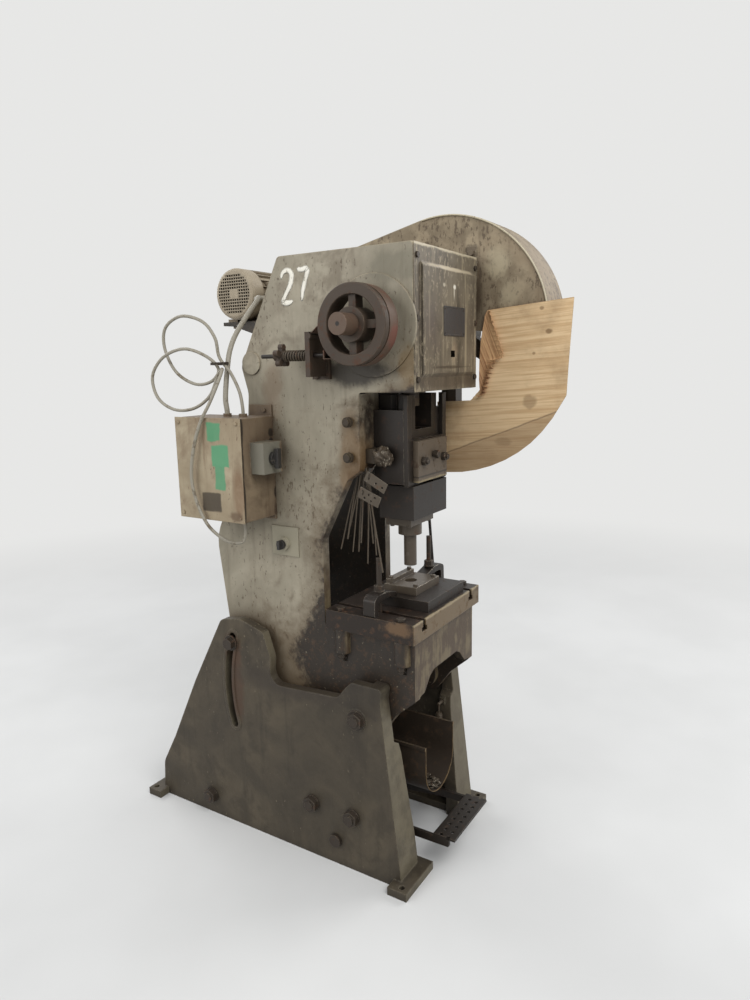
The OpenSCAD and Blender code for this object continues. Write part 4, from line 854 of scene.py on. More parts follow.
class Finish(Enum):
    """Every finish on the press."""

    FRAME = OiledPaint(
        "Grey casting paint", srgb(134, 127, 110), srgb(158, 150, 132), srgb(90, 77, 60),
        srgb(76, 61, 45), dirt=0.4, chips=0.62, streaks=0.4, rub=srgb(180, 166, 138), rough=0.62,
        arris=0.005,
        border=(
            (0.4, 0.05), (0.55, 0.112), (0.663, 0.076), (0.757, 0.122), (0.849, 0.174),
            (0.95, 0.201), (1.048, 0.221), (1.176, 0.274), (1.269, 0.313), (1.373, 0.345),
            (1.444, 0.36), (1.5, 0.5), (1.56, 0.8)),
        oil=srgb(33, 26, 20), baked=srgb(60, 43, 29), halo=srgb(86, 70, 50), bed=srgb(72, 57, 40),
        bed_dust=srgb(106, 93, 69), tint_spots=(
            # Dark blot under the brake drum: oil with painted shadow
            TintSpot((-0.2, -0.38, 1.552), (0.1, 0.18, 0.052), srgb(44, 38, 31), 0.92),
            TintSpot((-0.2, -0.53, 1.56), (0.1, 0.05, 0.08), srgb(122, 98, 62), 0.55),
            TintSpot((-0.2, -0.05, 1.5), (0.1, 0.05, 0.1), srgb(112, 88, 66), 0.45),
            TintSpot((-0.2, -0.336, 1.27), (0.1, 0.05, 0.22), srgb(104, 78, 46), 0.6),
            TintSpot((-0.2, -0.5, 1.83), (0.1, 0.12, 0.05), srgb(96, 92, 76), 0.45),
            # Pale strip along the top front edge: painted highlight
            Patch((-0.21, -0.56, 1.883), (0.21, -0.54, 1.89), srgb(182, 170, 144), 0.8)))
    LEG = PaleFrontPaint(
        "Dark leg paint", srgb(58, 51, 40), srgb(80, 71, 56), srgb(38, 32, 24), srgb(112, 101, 81),
        dirt=0.55, chips=0.3, streaks=0.45, rub=srgb(122, 112, 92), rough=0.6, grain=0.0026,
        # dust and dusty make the leg's front faces paler: dust with painted light
        arris=0.007, dust=srgb(110, 102, 83), dusty=0.7, drips=0.15, tint_spots=(
            TintSpot((-0.25, 0.12, 0.63), (0.05, 0.05, 0.08), srgb(72, 49, 32), 0.8),
            TintSpot((-0.25, 0.11, 0.5), (0.05, 0.035, 0.13), srgb(70, 49, 33), 0.75),
            TintSpot((-0.23, -0.4, 0.62), (0.2, 0.12, 0.13), OIL, 0.6),
            # Dark band along the leg's top edge: grime with painted shadow
            TintSpot((-0.23, -0.1, 0.57), (0.2, 0.26, 0.06), srgb(42, 34, 27), 0.6),
            TintSpot((-0.24, -0.56, 0.27), (0.1, 0.04, 0.13), srgb(112, 106, 92), 0.6)))
    COVER = PaleFrontPaint(
        "Brown cover paint", srgb(86, 77, 64), srgb(112, 102, 85), srgb(50, 43, 34),
        srgb(142, 130, 108), dirt=0.6, chips=0.9, streaks=0.9, rub=srgb(170, 157, 132), rough=0.55,
        grain=0.001, dust=srgb(158, 145, 119), drips=0.6, tint_spots=(
            TintSpot((-0.12, -0.555, 1.68), (0.08, 0.05, 0.1), srgb(70, 60, 60), 0.5, 0.9),
            TintSpot((0.0, -0.555, 1.52), (0.3, 0.05, 0.03), srgb(60, 48, 38), 0.6),
            # Pale lines at 1.835 m and along the top edge: painted highlights; dark line at 1.56
            # m: painted shade
            TintSpot((0.0, -0.55, 1.835), (0.17, 0.03, 0.009), srgb(176, 162, 136), 0.85),
            TintSpot((0.0, -0.555, 1.56), (0.16, 0.03, 0.005), srgb(52, 41, 31), 0.7),
            Patch((-0.2, -0.56, 1.8815), (0.2, -0.54, 1.889), srgb(182, 170, 144), 0.85),
            TintSpot((0.028, -0.557, 1.606), (0.032, 0.02, 0.042), srgb(148, 128, 104), 0.55, 0.9),
            TintSpot((0.027, -0.557, 1.786), (0.01, 0.02, 0.008), srgb(226, 220, 204), 0.8, 0.6),
            TintSpot((0.025, -0.557, 1.77), (0.005, 0.02, 0.022), srgb(204, 196, 178), 0.7, 0.9),
            TintSpot((-0.04, -0.557, 1.788), (0.01, 0.02, 0.007), srgb(196, 186, 164), 0.6, 0.6)))
    GUARD = WornPaint(
        "Mottled guard paint", srgb(126, 110, 88), srgb(158, 144, 119), srgb(78, 64, 47),
        srgb(74, 60, 46), dirt=0.75, chips=0.95, streaks=0.75, rub=srgb(186, 176, 150), rough=0.66,
        grain=0.001, tint_spots=(
            TintSpot((0.22, -0.61, 1.87), (0.1, 0.058, 0.075), srgb(172, 161, 134), 0.55, 0.7),
            TintSpot((0.22, -0.64, 1.78), (0.1, 0.05, 0.08), srgb(164, 152, 126), 0.5, 0.8),
            TintSpot((0.22, -0.52, 1.76), (0.1, 0.05, 0.09), srgb(66, 53, 38), 0.85, 0.5),
            TintSpot((0.22, -0.71, 1.72), (0.1, 0.04, 0.05), srgb(92, 76, 56), 0.5),
            Patch((0.19, -0.538, 1.8), (0.2268, -0.502, 1.93), srgb(82, 70, 55), 0.8)))
    MOTOR = WornPaint(
        "Beige motor paint", srgb(148, 136, 116), srgb(172, 160, 138), srgb(92, 78, 60),
        srgb(70, 60, 48), dirt=0.4, chips=0.3, streaks=0.3, rough=0.55, grain=0.0006)
    BOX = WornPaint(
        "Brown box paint", srgb(104, 88, 70), srgb(126, 110, 88), srgb(66, 52, 39),
        srgb(90, 60, 40), dirt=0.5, chips=0.5, streaks=0.6, rub=srgb(150, 134, 108), rough=0.55,
        grain=0.0007, tint_spots=(
            Patch((-0.36, -0.3, 0.9), (-0.19, 0.2, 1.095), srgb(150, 145, 126), 0.8),
            Patch((-0.32, -0.16, 1.25), (-0.236, -0.0525, 1.352), srgb(112, 111, 100), 0.8),
            Patch((-0.3535, -0.06, 1.1), (-0.343, -0.045, 1.43), srgb(30, 24, 20), 0.9),
            TintSpot((-0.216, -0.0515, 1.372), (0.012, 0.02, 0.014), OIL, 0.9, 0.3),
            TintSpot((-0.216, -0.0515, 1.346), (0.01, 0.02, 0.012), OIL, 0.9, 0.3),
            TintSpot((-0.204, -0.0515, 1.187), (0.01, 0.02, 0.022), OIL, 0.85, 0.4),
            TintSpot((-0.206, -0.0515, 1.134), (0.012, 0.02, 0.026), srgb(52, 38, 28), 0.7, 0.5)))
    LID = WornPaint(
        "Beige lid paint", srgb(142, 127, 103), srgb(168, 155, 130), srgb(100, 76, 52),
        srgb(84, 54, 36), dirt=0.6, chips=0.5, streaks=0.75, rub=srgb(176, 160, 130), rough=0.55,
        grain=0.0007, tint_spots=(
            Patch((-0.37, 0.03, 1.355), (-0.34, 0.084, 1.411), srgb(68, 140, 100), 0.85),
            Patch((-0.37, 0.0, 1.278), (-0.34, 0.068, 1.342), srgb(72, 144, 104), 0.88),
            Patch((-0.37, 0.018, 1.206), (-0.34, 0.058, 1.28), srgb(72, 140, 102), 0.85),
            Patch((-0.37, 0.038, 1.138), (-0.34, 0.116, 1.194), srgb(50, 42, 32), 0.85),
            TintSpot((-0.355, -0.035, 1.2), (0.02, 0.03, 0.12), srgb(106, 74, 46), 0.6),
            TintSpot((-0.355, -0.02, 1.13), (0.02, 0.035, 0.02), srgb(84, 62, 42), 0.7)))
    SCREW = OldMetal(
        "Dark steel fixings", srgb(110, 100, 86), srgb(52, 44, 36), srgb(84, 56, 38), cover=0.85,
        rusty=0.3, rough=0.5)
    SPRING = OldMetal(
        "Spring steel", srgb(118, 108, 92), srgb(74, 64, 52), srgb(86, 60, 42), cover=0.75,
        rusty=0.25, rough=0.5)
    TROUGH = OldMetal(
        "Rusty trough sheet", srgb(90, 76, 58), srgb(50, 41, 32), srgb(70, 53, 38), cover=0.88,
        rusty=0.42, rough=0.6, tint_spots=(
            TintSpot((0.0, -0.523, 0.3), (0.4, 0.006, 0.4), srgb(132, 106, 68), 0.7),
            TintSpot((0.0, -0.34, 0.393), (0.4, 0.4, 0.004), srgb(104, 88, 62), 0.5)))
    OILY = OldMetal(
        "Oily dark steel", srgb(84, 75, 64), srgb(34, 28, 23), srgb(62, 44, 32), cover=0.9,
        rusty=0.3, rough=0.44)
    BOLSTER = OldMetal(
        "Oily bolster plate", srgb(96, 82, 67), srgb(38, 30, 24), srgb(76, 54, 38), cover=0.88,
        rusty=0.38, rough=0.44, tint_spots=(
            TintSpot((0.0, -0.556, 0.79), (0.6, 0.012, 0.3), srgb(112, 94, 68), 0.75),
            TintSpot((0.0, -0.554, 0.838), (0.6, 0.01, 0.008), srgb(152, 138, 110), 0.7),
            TintSpot((-0.225, -0.5, 0.818), (0.03, 0.065, 0.026), srgb(112, 87, 62), 0.7)))
    RAM = OldMetal(
        "Oily ram", srgb(106, 94, 79), srgb(38, 32, 26), srgb(64, 47, 35), cover=0.88, rusty=0.28,
        rough=0.46)
    CLAMP = OldMetal(
        "Grey-brown clamp pad", srgb(120, 110, 94), srgb(88, 77, 64), srgb(70, 54, 40), cover=0.75,
        rusty=0.35, rough=0.5, tint_spots=(
            TintSpot((0.0, -0.46, 1.225), (0.4, 0.2, 0.011), srgb(140, 126, 96), 0.8),
            TintSpot((0.0, -0.46, 1.243), (0.4, 0.2, 0.004), srgb(42, 35, 28), 0.8)))
    WAYS = OldMetal(
        "Rubbed dark steel", srgb(150, 142, 128), srgb(36, 30, 25), srgb(62, 44, 32), cover=0.9,
        rusty=0.3, rough=0.44)
    BRIGHT = OldMetal(
        "Worn tool steel", srgb(140, 132, 118), srgb(78, 69, 58), srgb(78, 58, 42), cover=0.6,
        rusty=0.3, rough=0.36, lines=0.3)
    SHAFT = OldMetal(
        "Brown shaft steel", srgb(128, 108, 90), srgb(86, 69, 56), srgb(88, 62, 48), cover=0.75,
        rusty=0.3, rough=0.5, lines=0.3, way=(1, 1, 1), tint_spots=(
            TintSpot((-0.37, -0.417, 1.676), (0.02, 0.0075, 0.0075), srgb(26, 20, 15), 1.0, 0.3),))
    DRUM = OldMetal(
        "Brown brake iron", srgb(112, 96, 80), srgb(62, 51, 41), srgb(78, 55, 42), cover=0.82,
        rusty=0.4, rough=0.55)
    BAND = OldMetal(
        "Reddish band iron", srgb(128, 108, 90), srgb(84, 66, 54), srgb(98, 62, 46), cover=0.8,
        rusty=0.4, rough=0.55, tint_spots=(
            TintSpot((-0.24, -0.41, 1.78), (0.06, 0.07, 0.03), srgb(142, 126, 105), 0.55),
            TintSpot((-0.24, -0.52, 1.64), (0.06, 0.03, 0.05), srgb(112, 58, 47), 0.5)))
    CAST = OldMetal(
        "Cast iron", srgb(106, 98, 86), srgb(64, 57, 49), srgb(88, 62, 44), cover=0.85, rusty=0.3,
        rough=0.55)
    BRONZE = OldMetal(
        "Dirty bronze", srgb(98, 82, 54), srgb(54, 45, 34), srgb(50, 42, 31), cover=0.85,
        rusty=0.4, rough=0.5)
    GREASE = WornPaint(
        "Old grease with chips", srgb(62, 51, 39), srgb(82, 70, 55), srgb(32, 26, 20),
        srgb(158, 148, 130), dirt=0.7, chips=0.9, streaks=0.2, rub=srgb(86, 75, 60), rough=0.5,
        grain=0.004)
    BEAD = Rubbery("Rubbed bead", srgb(182, 172, 148), srgb(124, 110, 88), dusty=0.45, rough=0.6)
    LINING = Rubbery("Brake lining", srgb(70, 58, 48), srgb(104, 92, 78), dusty=0.5, rough=0.7)
    BELT = Rubbery("Belt rubber", srgb(38, 36, 34), srgb(92, 86, 76), dusty=0.5, rough=0.6)
    BLACK = Rubbery("Black plastic", srgb(38, 36, 34), srgb(104, 96, 84), dusty=0.35, rough=0.42)
    CABLE = Rubbery(
        "Grey cable sheath", srgb(140, 134, 120), srgb(98, 86, 68), dusty=0.55, rough=0.5)
    PLY = RotaryPly("Weathered ply", srgb(216, 188, 148), srgb(180, 146, 104), srgb(128, 102, 74))
    SPLINTER = RotaryPly(
        "Torn inner ply", srgb(214, 174, 128), srgb(150, 108, 74), srgb(140, 92, 68), tilt=1.16,
        torn=0.7)
    WHITE = WornPaint(
        "White brush paint", srgb(224, 220, 206), srgb(234, 230, 218), srgb(170, 160, 140),
        srgb(140, 130, 108), dirt=0.2, chips=0.7, streaks=0.1, rough=0.55, grain=0.0006)
    PLATE = OldMetal(
        "Blank dark plate", srgb(104, 100, 96), srgb(58, 56, 56), srgb(84, 70, 58), cover=0.85,
        rusty=0.25, rough=0.5)

    def made(self) -> bpy.types.Material:
        """The material, built once and then shared."""
        return bpy.data.materials.get(self.value.name) or self.value.material()


NODE_FINISHES: dict[Finish, tuple[str, ...]] = {
    Finish.LEG: ("base_left_leg", "base_right_leg"),
    Finish.FRAME: ("frame_casting", "motor_bracket"),
    Finish.COVER: ("front_cover",),
    Finish.GUARD: ("flywheel_guard",),
    Finish.MOTOR: ("motor_housing", "fan_cover"),
    Finish.BOX: ("control_box",),
    Finish.LID: ("box_cover",),
    Finish.SCREW: ("tie_rods", "pivot_shaft", "treadle_shaft", "clamp_bolts", "bolster_bolts",
                   "cover_screws", "gib_bolts", "strap_studs", "rod_bolts", "clamp_studs",
                   "shaft_cap"),
    Finish.SPRING: ("treadle_spring", "brake_spring"),
    Finish.TROUGH: ("scrap_trough",),
    Finish.OILY: ("treadle", "treadle_link", "brake_rod", "punch_block", "trip_lever",
                  "pull_rod", "die_plate"),
    Finish.WAYS: ("gibs", "strap_clamps"),
    Finish.BOLSTER: ("bolster",),
    Finish.RAM: ("ram",),
    Finish.CLAMP: ("shank_clamp",),
    Finish.BRIGHT: ("die_block", "punch", "ball_screw", "motor_rotor"),
    Finish.SHAFT: ("crankshaft",),
    Finish.DRUM: ("brake_drum", "brake_bracket", "brake_nut"),
    Finish.BAND: ("brake_band",),
    Finish.CAST: ("clutch_collar", "connecting_rod", "rod_cap", "flywheel", "motor_pulley"),
    Finish.BRONZE: ("crank_bushes", "grease_cups"),
    Finish.LINING: ("brake_lining",),
    Finish.BELT: ("drive_belts",),
    Finish.BLACK: ("isolator_lever", "switch_knob"),
}


def dress_nodes() -> None:
    """Give every solid that stays its finish."""
    for finish, names in NODE_FINISHES.items():
        for name in names:
            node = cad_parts[name]
            for slot in node.material_slots:
                slot.material = finish.made()
            if not node.material_slots:
                node.data.materials.append(finish.made())


# Bench


def clear_bench() -> None:
    """Deselect everything, so that the next operator acts on its own piece only."""
    bpy.ops.object.select_all(action="DESELECT")


def hold(*pieces: Piece) -> None:
    """Select pieces and nothing else.

    Args:
        pieces: The pieces, the active one first.
    """
    clear_bench()
    for piece in pieces:
        piece.select_set(True)
    bpy.context.view_layer.objects.active = pieces[0]


def named(name: str) -> Piece:
    """Name the piece that an operator has just made."""
    bpy.context.object.name = name
    return bpy.context.object


def fixed(piece: Piece) -> Piece:
    """Carry a piece's place, turn and size over into its mesh.

    Args:
        piece: The piece.

    Returns:
        The same piece.
    """
    hold(piece)
    bpy.ops.object.transform_apply(location=True, rotation=True, scale=True)
    return piece


def smooth(piece: Piece, crisp: float | None = None) -> Piece:
    """Shade a piece smooth.

    Args:
        piece: The piece.
        crisp: Angle in degrees above which its edges stay crisp, or none do.

    Returns:
        The same piece.
    """
    hold(piece)
    if crisp is None:
        bpy.ops.object.shade_smooth()
    else:
        bpy.ops.object.shade_smooth_by_angle(angle=math.radians(crisp))
    return piece


def thickened(piece: Piece, thick: float) -> Piece:
    """Give a flat piece its thickness, half of it to each side.

    Args:
        piece: The flat piece.
        thick: Its thickness.

    Returns:
        The same piece.
    """
    hold(piece)
    modifier = piece.modifiers.new("Thickness", "SOLIDIFY")
    modifier.thickness, modifier.offset = thick, 0.0
    bpy.ops.object.modifier_apply(modifier="Thickness")
    return piece


def joined(name: str, parts: Sequence[Piece]) -> Piece:
    """Join parts into one piece.

    Args:
        name: Name of the piece.
        parts: The parts.

    Returns:
        The piece.
    """
    hold(*parts)
    bpy.ops.object.join()
    return named(name)


def settle(piece: Piece, body: str, finish: Finish) -> Piece:
    """Finish a piece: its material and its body.

    Args:
        piece: The piece, in its place.
        body: The CAD body that it rides on.
        finish: Its finish.

    Returns:
        The same piece.
    """
    piece.data.materials.clear()
    piece.data.materials.append(finish.made())
    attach(piece, body)
    log.info("%s rides on %s", piece.name, body)
    return piece


@contextmanager
def edit(piece: Piece) -> Iterator[None]:
    """Open a piece in edit mode with nothing selected.

    Args:
        piece: The piece.

    Yields:
        Nothing, while the piece is open.
    """
    hold(piece)
    bpy.ops.object.mode_set(mode="EDIT")
    bpy.ops.mesh.select_all(action="DESELECT")
    try:
        yield
    finally:
        bpy.ops.object.mode_set(mode="OBJECT")


def pick_faces(piece: Piece, test: Callable[[Vector, Vector], bool]) -> None:
    """Select faces of a piece that is open in edit mode.

    Args:
        piece: The piece.
        test: Says from a face's middle and normal whether it is one of them.
    """
    bpy.ops.mesh.select_mode(type="FACE")
    bpy.ops.mesh.select_all(action="DESELECT")
    mesh = bmesh.from_edit_mesh(piece.data)
    for face in mesh.faces:
        face.select_set(test(face.calc_center_median(), face.normal))
    mesh.select_flush_mode()
    bmesh.update_edit_mesh(piece.data)


def pick_edges(piece: Piece, test: Callable[[Vector, Vector], bool]) -> None:
    """Select edges of a piece that is open in edit mode.

    Args:
        piece: The piece.
        test: Says from an edge's two ends whether it is one of them.
    """
    bpy.ops.mesh.select_mode(type="EDGE")
    bpy.ops.mesh.select_all(action="DESELECT")
    mesh = bmesh.from_edit_mesh(piece.data)
    for edge in mesh.edges:
        edge.select_set(test(edge.verts[0].co, edge.verts[1].co))
    mesh.select_flush_mode()
    bmesh.update_edit_mesh(piece.data)


def weld(gap: float) -> None:
    """Merge the points of the open piece that lie closer than a gap."""
    bpy.ops.mesh.select_all(action="SELECT")
    bpy.ops.mesh.remove_doubles(threshold=gap)


def bar(name: str, low: Point, high: Point) -> Piece:
    """Cut a rectangular blank.

    Args:
        name: Name of the piece.
        low: Its lowest corner, in metres.
        high: Its highest corner.

    Returns:
        The blank.
    """
    clear_bench()
    middle = [(a + b) / 2 for a, b in zip(low, high)]
    span = [b - a for a, b in zip(low, high)]
    bpy.ops.mesh.primitive_cube_add(size=1, location=middle, scale=span)
    return fixed(named(name))


def ball(name: str, place: Point, radius: float, flat: Point, rings: int) -> Piece:
    """Turn a rounded blank.

    Args:
        name: Name of the piece.
        place: Its middle, in metres.
        radius: Its radius.
        flat: How far it is pressed or drawn out along each axis.
        rings: Rings of faces between its poles.

    Returns:
        The blank.
    """
    clear_bench()
    bpy.ops.mesh.primitive_uv_sphere_add(segments=rings * 2, ring_count=rings, radius=radius,
                                         location=place, scale=flat)
    return smooth(fixed(named(name)))


def curve(name: str, points: Sequence[Vector], thick: float, sides: int,
          tapers: Sequence[float] | None = None) -> Piece:
    """Draw a round wire as a curve.

    Args:
        name: Name of the piece.
        points: Its middle line, in metres.
        thick: Its diameter.
        sides: How round it is.
        tapers: Share of the thickness at each point.

    Returns:
        The curve.
    """
    clear_bench()
    data = bpy.data.curves.new(name, "CURVE")
    data.dimensions = "3D"
    data.bevel_depth = thick / 2
    data.bevel_resolution = sides
    data.use_fill_caps = True
    spline = data.splines.new("POLY")
    spline.points.add(len(points) - 1)
    for i, point in enumerate(points):
        spline.points[i].co = (*point, 1)
        spline.points[i].radius = tapers[i] if tapers else 1.0
    piece = bpy.data.objects.new(name, data)
    bpy.context.scene.collection.objects.link(piece)
    return piece


def wire(name: str, points: Sequence[Vector], thick: float, sides: int = 2,
         tapers: Sequence[float] | None = None) -> Piece:
    """Draw a round wire as a mesh.

    Args:
        name: Name of the piece.
        points: Its middle line, in metres.
        thick: Its diameter.
        sides: How round it is.
        tapers: Share of the thickness at each point.

    Returns:
        The wire.
    """
    hold(curve(name, points, thick, sides, tapers))
    bpy.ops.object.convert(target="MESH")
    return bpy.context.object


def through(points: Sequence[Point], steps: int) -> list[Vector]:
    """Draw a smooth line through points.

    Args:
        points: The points that it passes.
        steps: Pieces between two points.

    Returns:
        The finer line, in the points' own unit.
    """
    fine = []
    last = len(points) - 1
    for i in range(last):
        a, b, c, d = (Vector(points[j]) for j in (max(i - 1, 0), i, i + 1, min(i + 2, last)))
        for j in range(steps):
            t = j / steps
            fine.append(0.5 * (2 * b + (c - a) * t + (2 * a - 5 * b + 4 * c - d) * t * t
                               + (3 * b - a - 3 * c + d) * t ** 3))
    return fine + [Vector(points[last])]


# Camera and light


@dataclass
class Studio:
    """The camera at the photograph's place, soft lamps and a pale floor.

    Attributes:
        eye: Place of the camera.
        ahead: Where it looks.
        roll: Its turn about its own axis, in degrees.
        lens: Focal length, in millimetres.
        sensor: Width of the sensor that it is for.
        sight: The nearest and the farthest distance that the camera sees.
        lamps: Name, place, aim and power of each lamp.
        lamp_size: Width of a lamp.
        sky: Colour of the world's soft fill.
        fill: Its strength.
        floor_size: Width of the floor.
        floor: The floor's two greys, which are hard to tell apart.
        floor_rough: Its roughness.
        floor_grain: Depth of its unevenness.
        floor_shine: Strength of its gloss.
        backdrop: Colour behind everything.
        fade: Distances between which the floor melts into the backdrop.
    """

    eye: Point = (-1.932, -1.50, 1.57)
    ahead: Point = (0.8329, 0.5221, -0.1837)
    roll: float = -1.1
    lens: float = 34.68
    sensor: float = 36.0
    sight: Pair = (0.05, 200.0)
    lamps: tuple[tuple[str, Point, Point, float], ...] = (
        ("Key lamp", (-1.6, -3.2, 4.2), (0, -0.2, 0.9), 130),
        ("Side lamp", (-3.6, 1.6, 3.0), (0, -0.1, 1.0), 70),
        ("Right lamp", (3.4, -2.2, 3.2), (0, -0.2, 1.1), 80),
        ("Back lamp", (0.8, 3.6, 3.4), (0, 0, 1.1), 70))
    lamp_size: float = 2.6
    sky: Colour = (0.95, 0.97, 1.0)
    fill: float = 0.55
    floor_size: float = 60.0
    floor: tuple[Colour, Colour] = ((0.60, 0.60, 0.59), (0.64, 0.64, 0.63))
    floor_rough: float = 0.8
    floor_grain: float = 0.0003
    floor_shine: float = 0.2
    backdrop: Colour = (0.80, 0.80, 0.79)
    fade: Pair = (1.9, 5.5)

    def set_up(self, name: str, data: bpy.types.ID, place: Point, ahead: Vector,
               roll: float = 0.0) -> Piece:
        """Stand a camera or a lamp in the scene.

        Args:
            name: Its name.
            data: The camera or lamp itself.
            place: Where it stands.
            ahead: The direction that it looks in.
            roll: Its turn about that direction, in degrees.

        Returns:
            The object.
        """
        piece = bpy.data.objects.new(name, data)
        bpy.context.scene.collection.objects.link(piece)
        turn = ahead.to_track_quat("-Z", "Y").to_matrix().to_4x4()
        piece.matrix_world = (Matrix.Translation(place) @ turn
                              @ Matrix.Rotation(math.radians(roll), 4, "Z"))
        return piece

    def set_camera(self) -> None:
        """Place the camera."""
        data = bpy.data.cameras.new("Camera")
        data.lens, data.sensor_width, data.sensor_fit = self.lens, self.sensor, "HORIZONTAL"
        data.clip_start, data.clip_end = self.sight
        bpy.context.scene.camera = self.set_up("Camera", data, self.eye, Vector(self.ahead),
                                               self.roll)
        bpy.context.scene.view_settings.view_transform = "Standard"

    def light(self) -> None:
        """Hang the lamps and set the world's soft fill."""
        for name, place, aim, watts in self.lamps:
            data = bpy.data.lights.new(name, "AREA")
            data.size, data.energy = self.lamp_size, watts
            self.set_up(name, data, place, Vector(aim) - Vector(place))
        world = bpy.data.worlds.new("Studio")
        bpy.context.scene.world = world
        world.use_nodes = True
        tree = world.node_tree
        tree.nodes.clear()
        mix = tree.nodes.new("ShaderNodeMixShader")
        tree.links.new(self.seen(tree), mix.inputs[0])
        for socket, colour, strength in ((1, self.sky, self.fill), (2, self.backdrop, 1.0)):
            back = tree.nodes.new("ShaderNodeBackground")
            back.inputs[0].default_value = (*colour, 1)
            back.inputs[1].default_value = strength
            tree.links.new(back.outputs[0], mix.inputs[socket])
        tree.links.new(mix.outputs[0], tree.nodes.new("ShaderNodeOutputWorld").inputs[0])

    def seen(self, tree: bpy.types.NodeTree) -> Socket:
        """Find the rays that go to the eye, straight or by way of gloss or glass.

        Args:
            tree: The nodes of the material or world that asks.

        Returns:
            1 for such a ray, 0 for any other.
        """
        path = tree.nodes.new("ShaderNodeLightPath")
        total = path.outputs["Is Camera Ray"]
        for name in ("Is Glossy Ray", "Is Transmission Ray"):
            add = tree.nodes.new("ShaderNodeMath")
            add.operation = "MAXIMUM"
            tree.links.new(total, add.inputs[0])
            tree.links.new(path.outputs[name], add.inputs[1])
            total = add.outputs[0]
        return total

    def lay_floor(self) -> None:
        """Lay the pale floor, which melts into the backdrop far off."""
        clear_bench()
        bpy.ops.mesh.primitive_plane_add(size=self.floor_size)
        floor = named("Floor")
        s = Surface("Pale floor")
        colour = s.lay(*self.floor, s.noise(1.3, 3), 0.3, 0.7)
        floor.data.materials.append(s.close(
            colour, self.floor_rough, 0.0, s.noise(40, 3), self.floor_grain,
            shine=self.floor_shine))
        output = next(n for n in s.tree.nodes if n.type == "OUTPUT_MATERIAL").inputs[0]
        lit = output.links[0].from_socket
        glow = s.node("ShaderNodeEmission")
        s.feed(glow.inputs[0], self.backdrop)
        far = s.vector("LENGTH", s.place).step(*self.fade)
        mix = s.node("ShaderNodeMixShader")
        s.feed(mix.inputs[0], far * Value(s, self.seen(s.tree)))
        s.feed(mix.inputs[1], lit)
        s.feed(mix.inputs[2], glow.outputs[0])
        s.feed(output, mix.outputs[0])


# Cables


@dataclass
class Cable:
    """A sheathed cable that goes from one fitting of the press into another.

    Attributes:
        node: The CAD node that it stands for.
        route: Points that it passes, in millimetres.
        thick: Its diameter, in metres.
        lay: How it lies; not used.
        steps: Pieces between two points.
        sides: How round it is.
    """

    node: str
    route: tuple[Point, ...]
    thick: float
    lay: str
    steps: int = 6
    sides: int = 4

    def build(self) -> None:
        line = [p * MM for p in through(self.route, self.steps)]
        piece = curve(self.node + "_sheath", line, self.thick, self.sides)
        settle(piece, "frame", Finish.CABLE)
        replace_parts(piece, self.node)
        length = sum((b - a).length for a, b in zip(line, line[1:]))
        log.info("%s is %.2f m long", piece.name, length)


MOTOR_LEAD = Cable("motor_lead", (
    (48, 150, 1800), (24, 150, 1800), (-10, 146, 1797), (-50, 124, 1791), (-92, 88, 1786),
    (-130, 46, 1784), (-164, 32, 1764), (-190, 54, 1718), (-214, 76, 1668), (-236, 82, 1620),
    (-252, 80, 1570), (-262, 80, 1520), (-270, 78, 1474), (-272, 72, 1440), (-272, 72, 1420)),
    0.016, "loose")
LOOP_CABLE = Cable("loop_cable", (
    (-272, 8, 1420), (-272, 8, 1450), (-266, 24, 1500), (-264, 58, 1556), (-268, 96, 1602),
    (-272, 106, 1660), (-280, 146, 1710), (-288, 228, 1730), (-292, 296, 1698), (-290, 308, 1634),
    (-288, 266, 1560), (-284, 190, 1522), (-278, 124, 1530), (-274, 96, 1566), (-292, 128, 1606),
    (-306, 206, 1630), (-314, 292, 1606), (-318, 342, 1548), (-320, 322, 1480), (-320, 252, 1444),
    (-314, 172, 1448), (-302, 112, 1486), (-284, 92, 1546), (-294, 62, 1566), (-318, 58, 1530),
    (-346, 70, 1470), (-366, 96, 1408), (-372, 124, 1330), (-372, 140, 1240), (-370, 124, 1160),
    (-362, 88, 1090), (-334, 44, 1044), (-304, 12, 1036), (-296, 1, 1062), (-296, 1, 1100),
    (-296, 1, 1116)), 0.010, "hanging")


@dataclass
class TwistedTie:
    """The wire twisted round the two cables where they cross, in place of the plain tie.

    Attributes:
        thick: Thickness of the wire.
        turns: Number of turns.
        steps: Pieces in a turn.
        spread: Share of the plain tie's height that the turns take up.
    """

    thick: float = 0.0026
    turns: int = 3
    steps: int = 15
    spread: float = 0.8

    def build(self) -> None:
        """Wind the wire where the plain tie sits."""
        low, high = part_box("cable_tie")
        middle, reach = (low + high) / 2, (high - low) / 2
        count = self.turns * self.steps
        line = []
        for i in range(count + 1):
            angle = 2 * math.pi * i / self.steps
            line.append(middle + Vector(((reach.x - self.thick / 2) * math.cos(angle),
                                         (reach.y - self.thick / 2) * math.sin(angle),
                                         reach.z * self.spread * (2 * i / count - 1))))
        piece = smooth(wire("twisted_tie", line, self.thick))
        settle(piece, "frame", Finish.SCREW)
        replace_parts(piece, "cable_tie")


# Marks and small parts


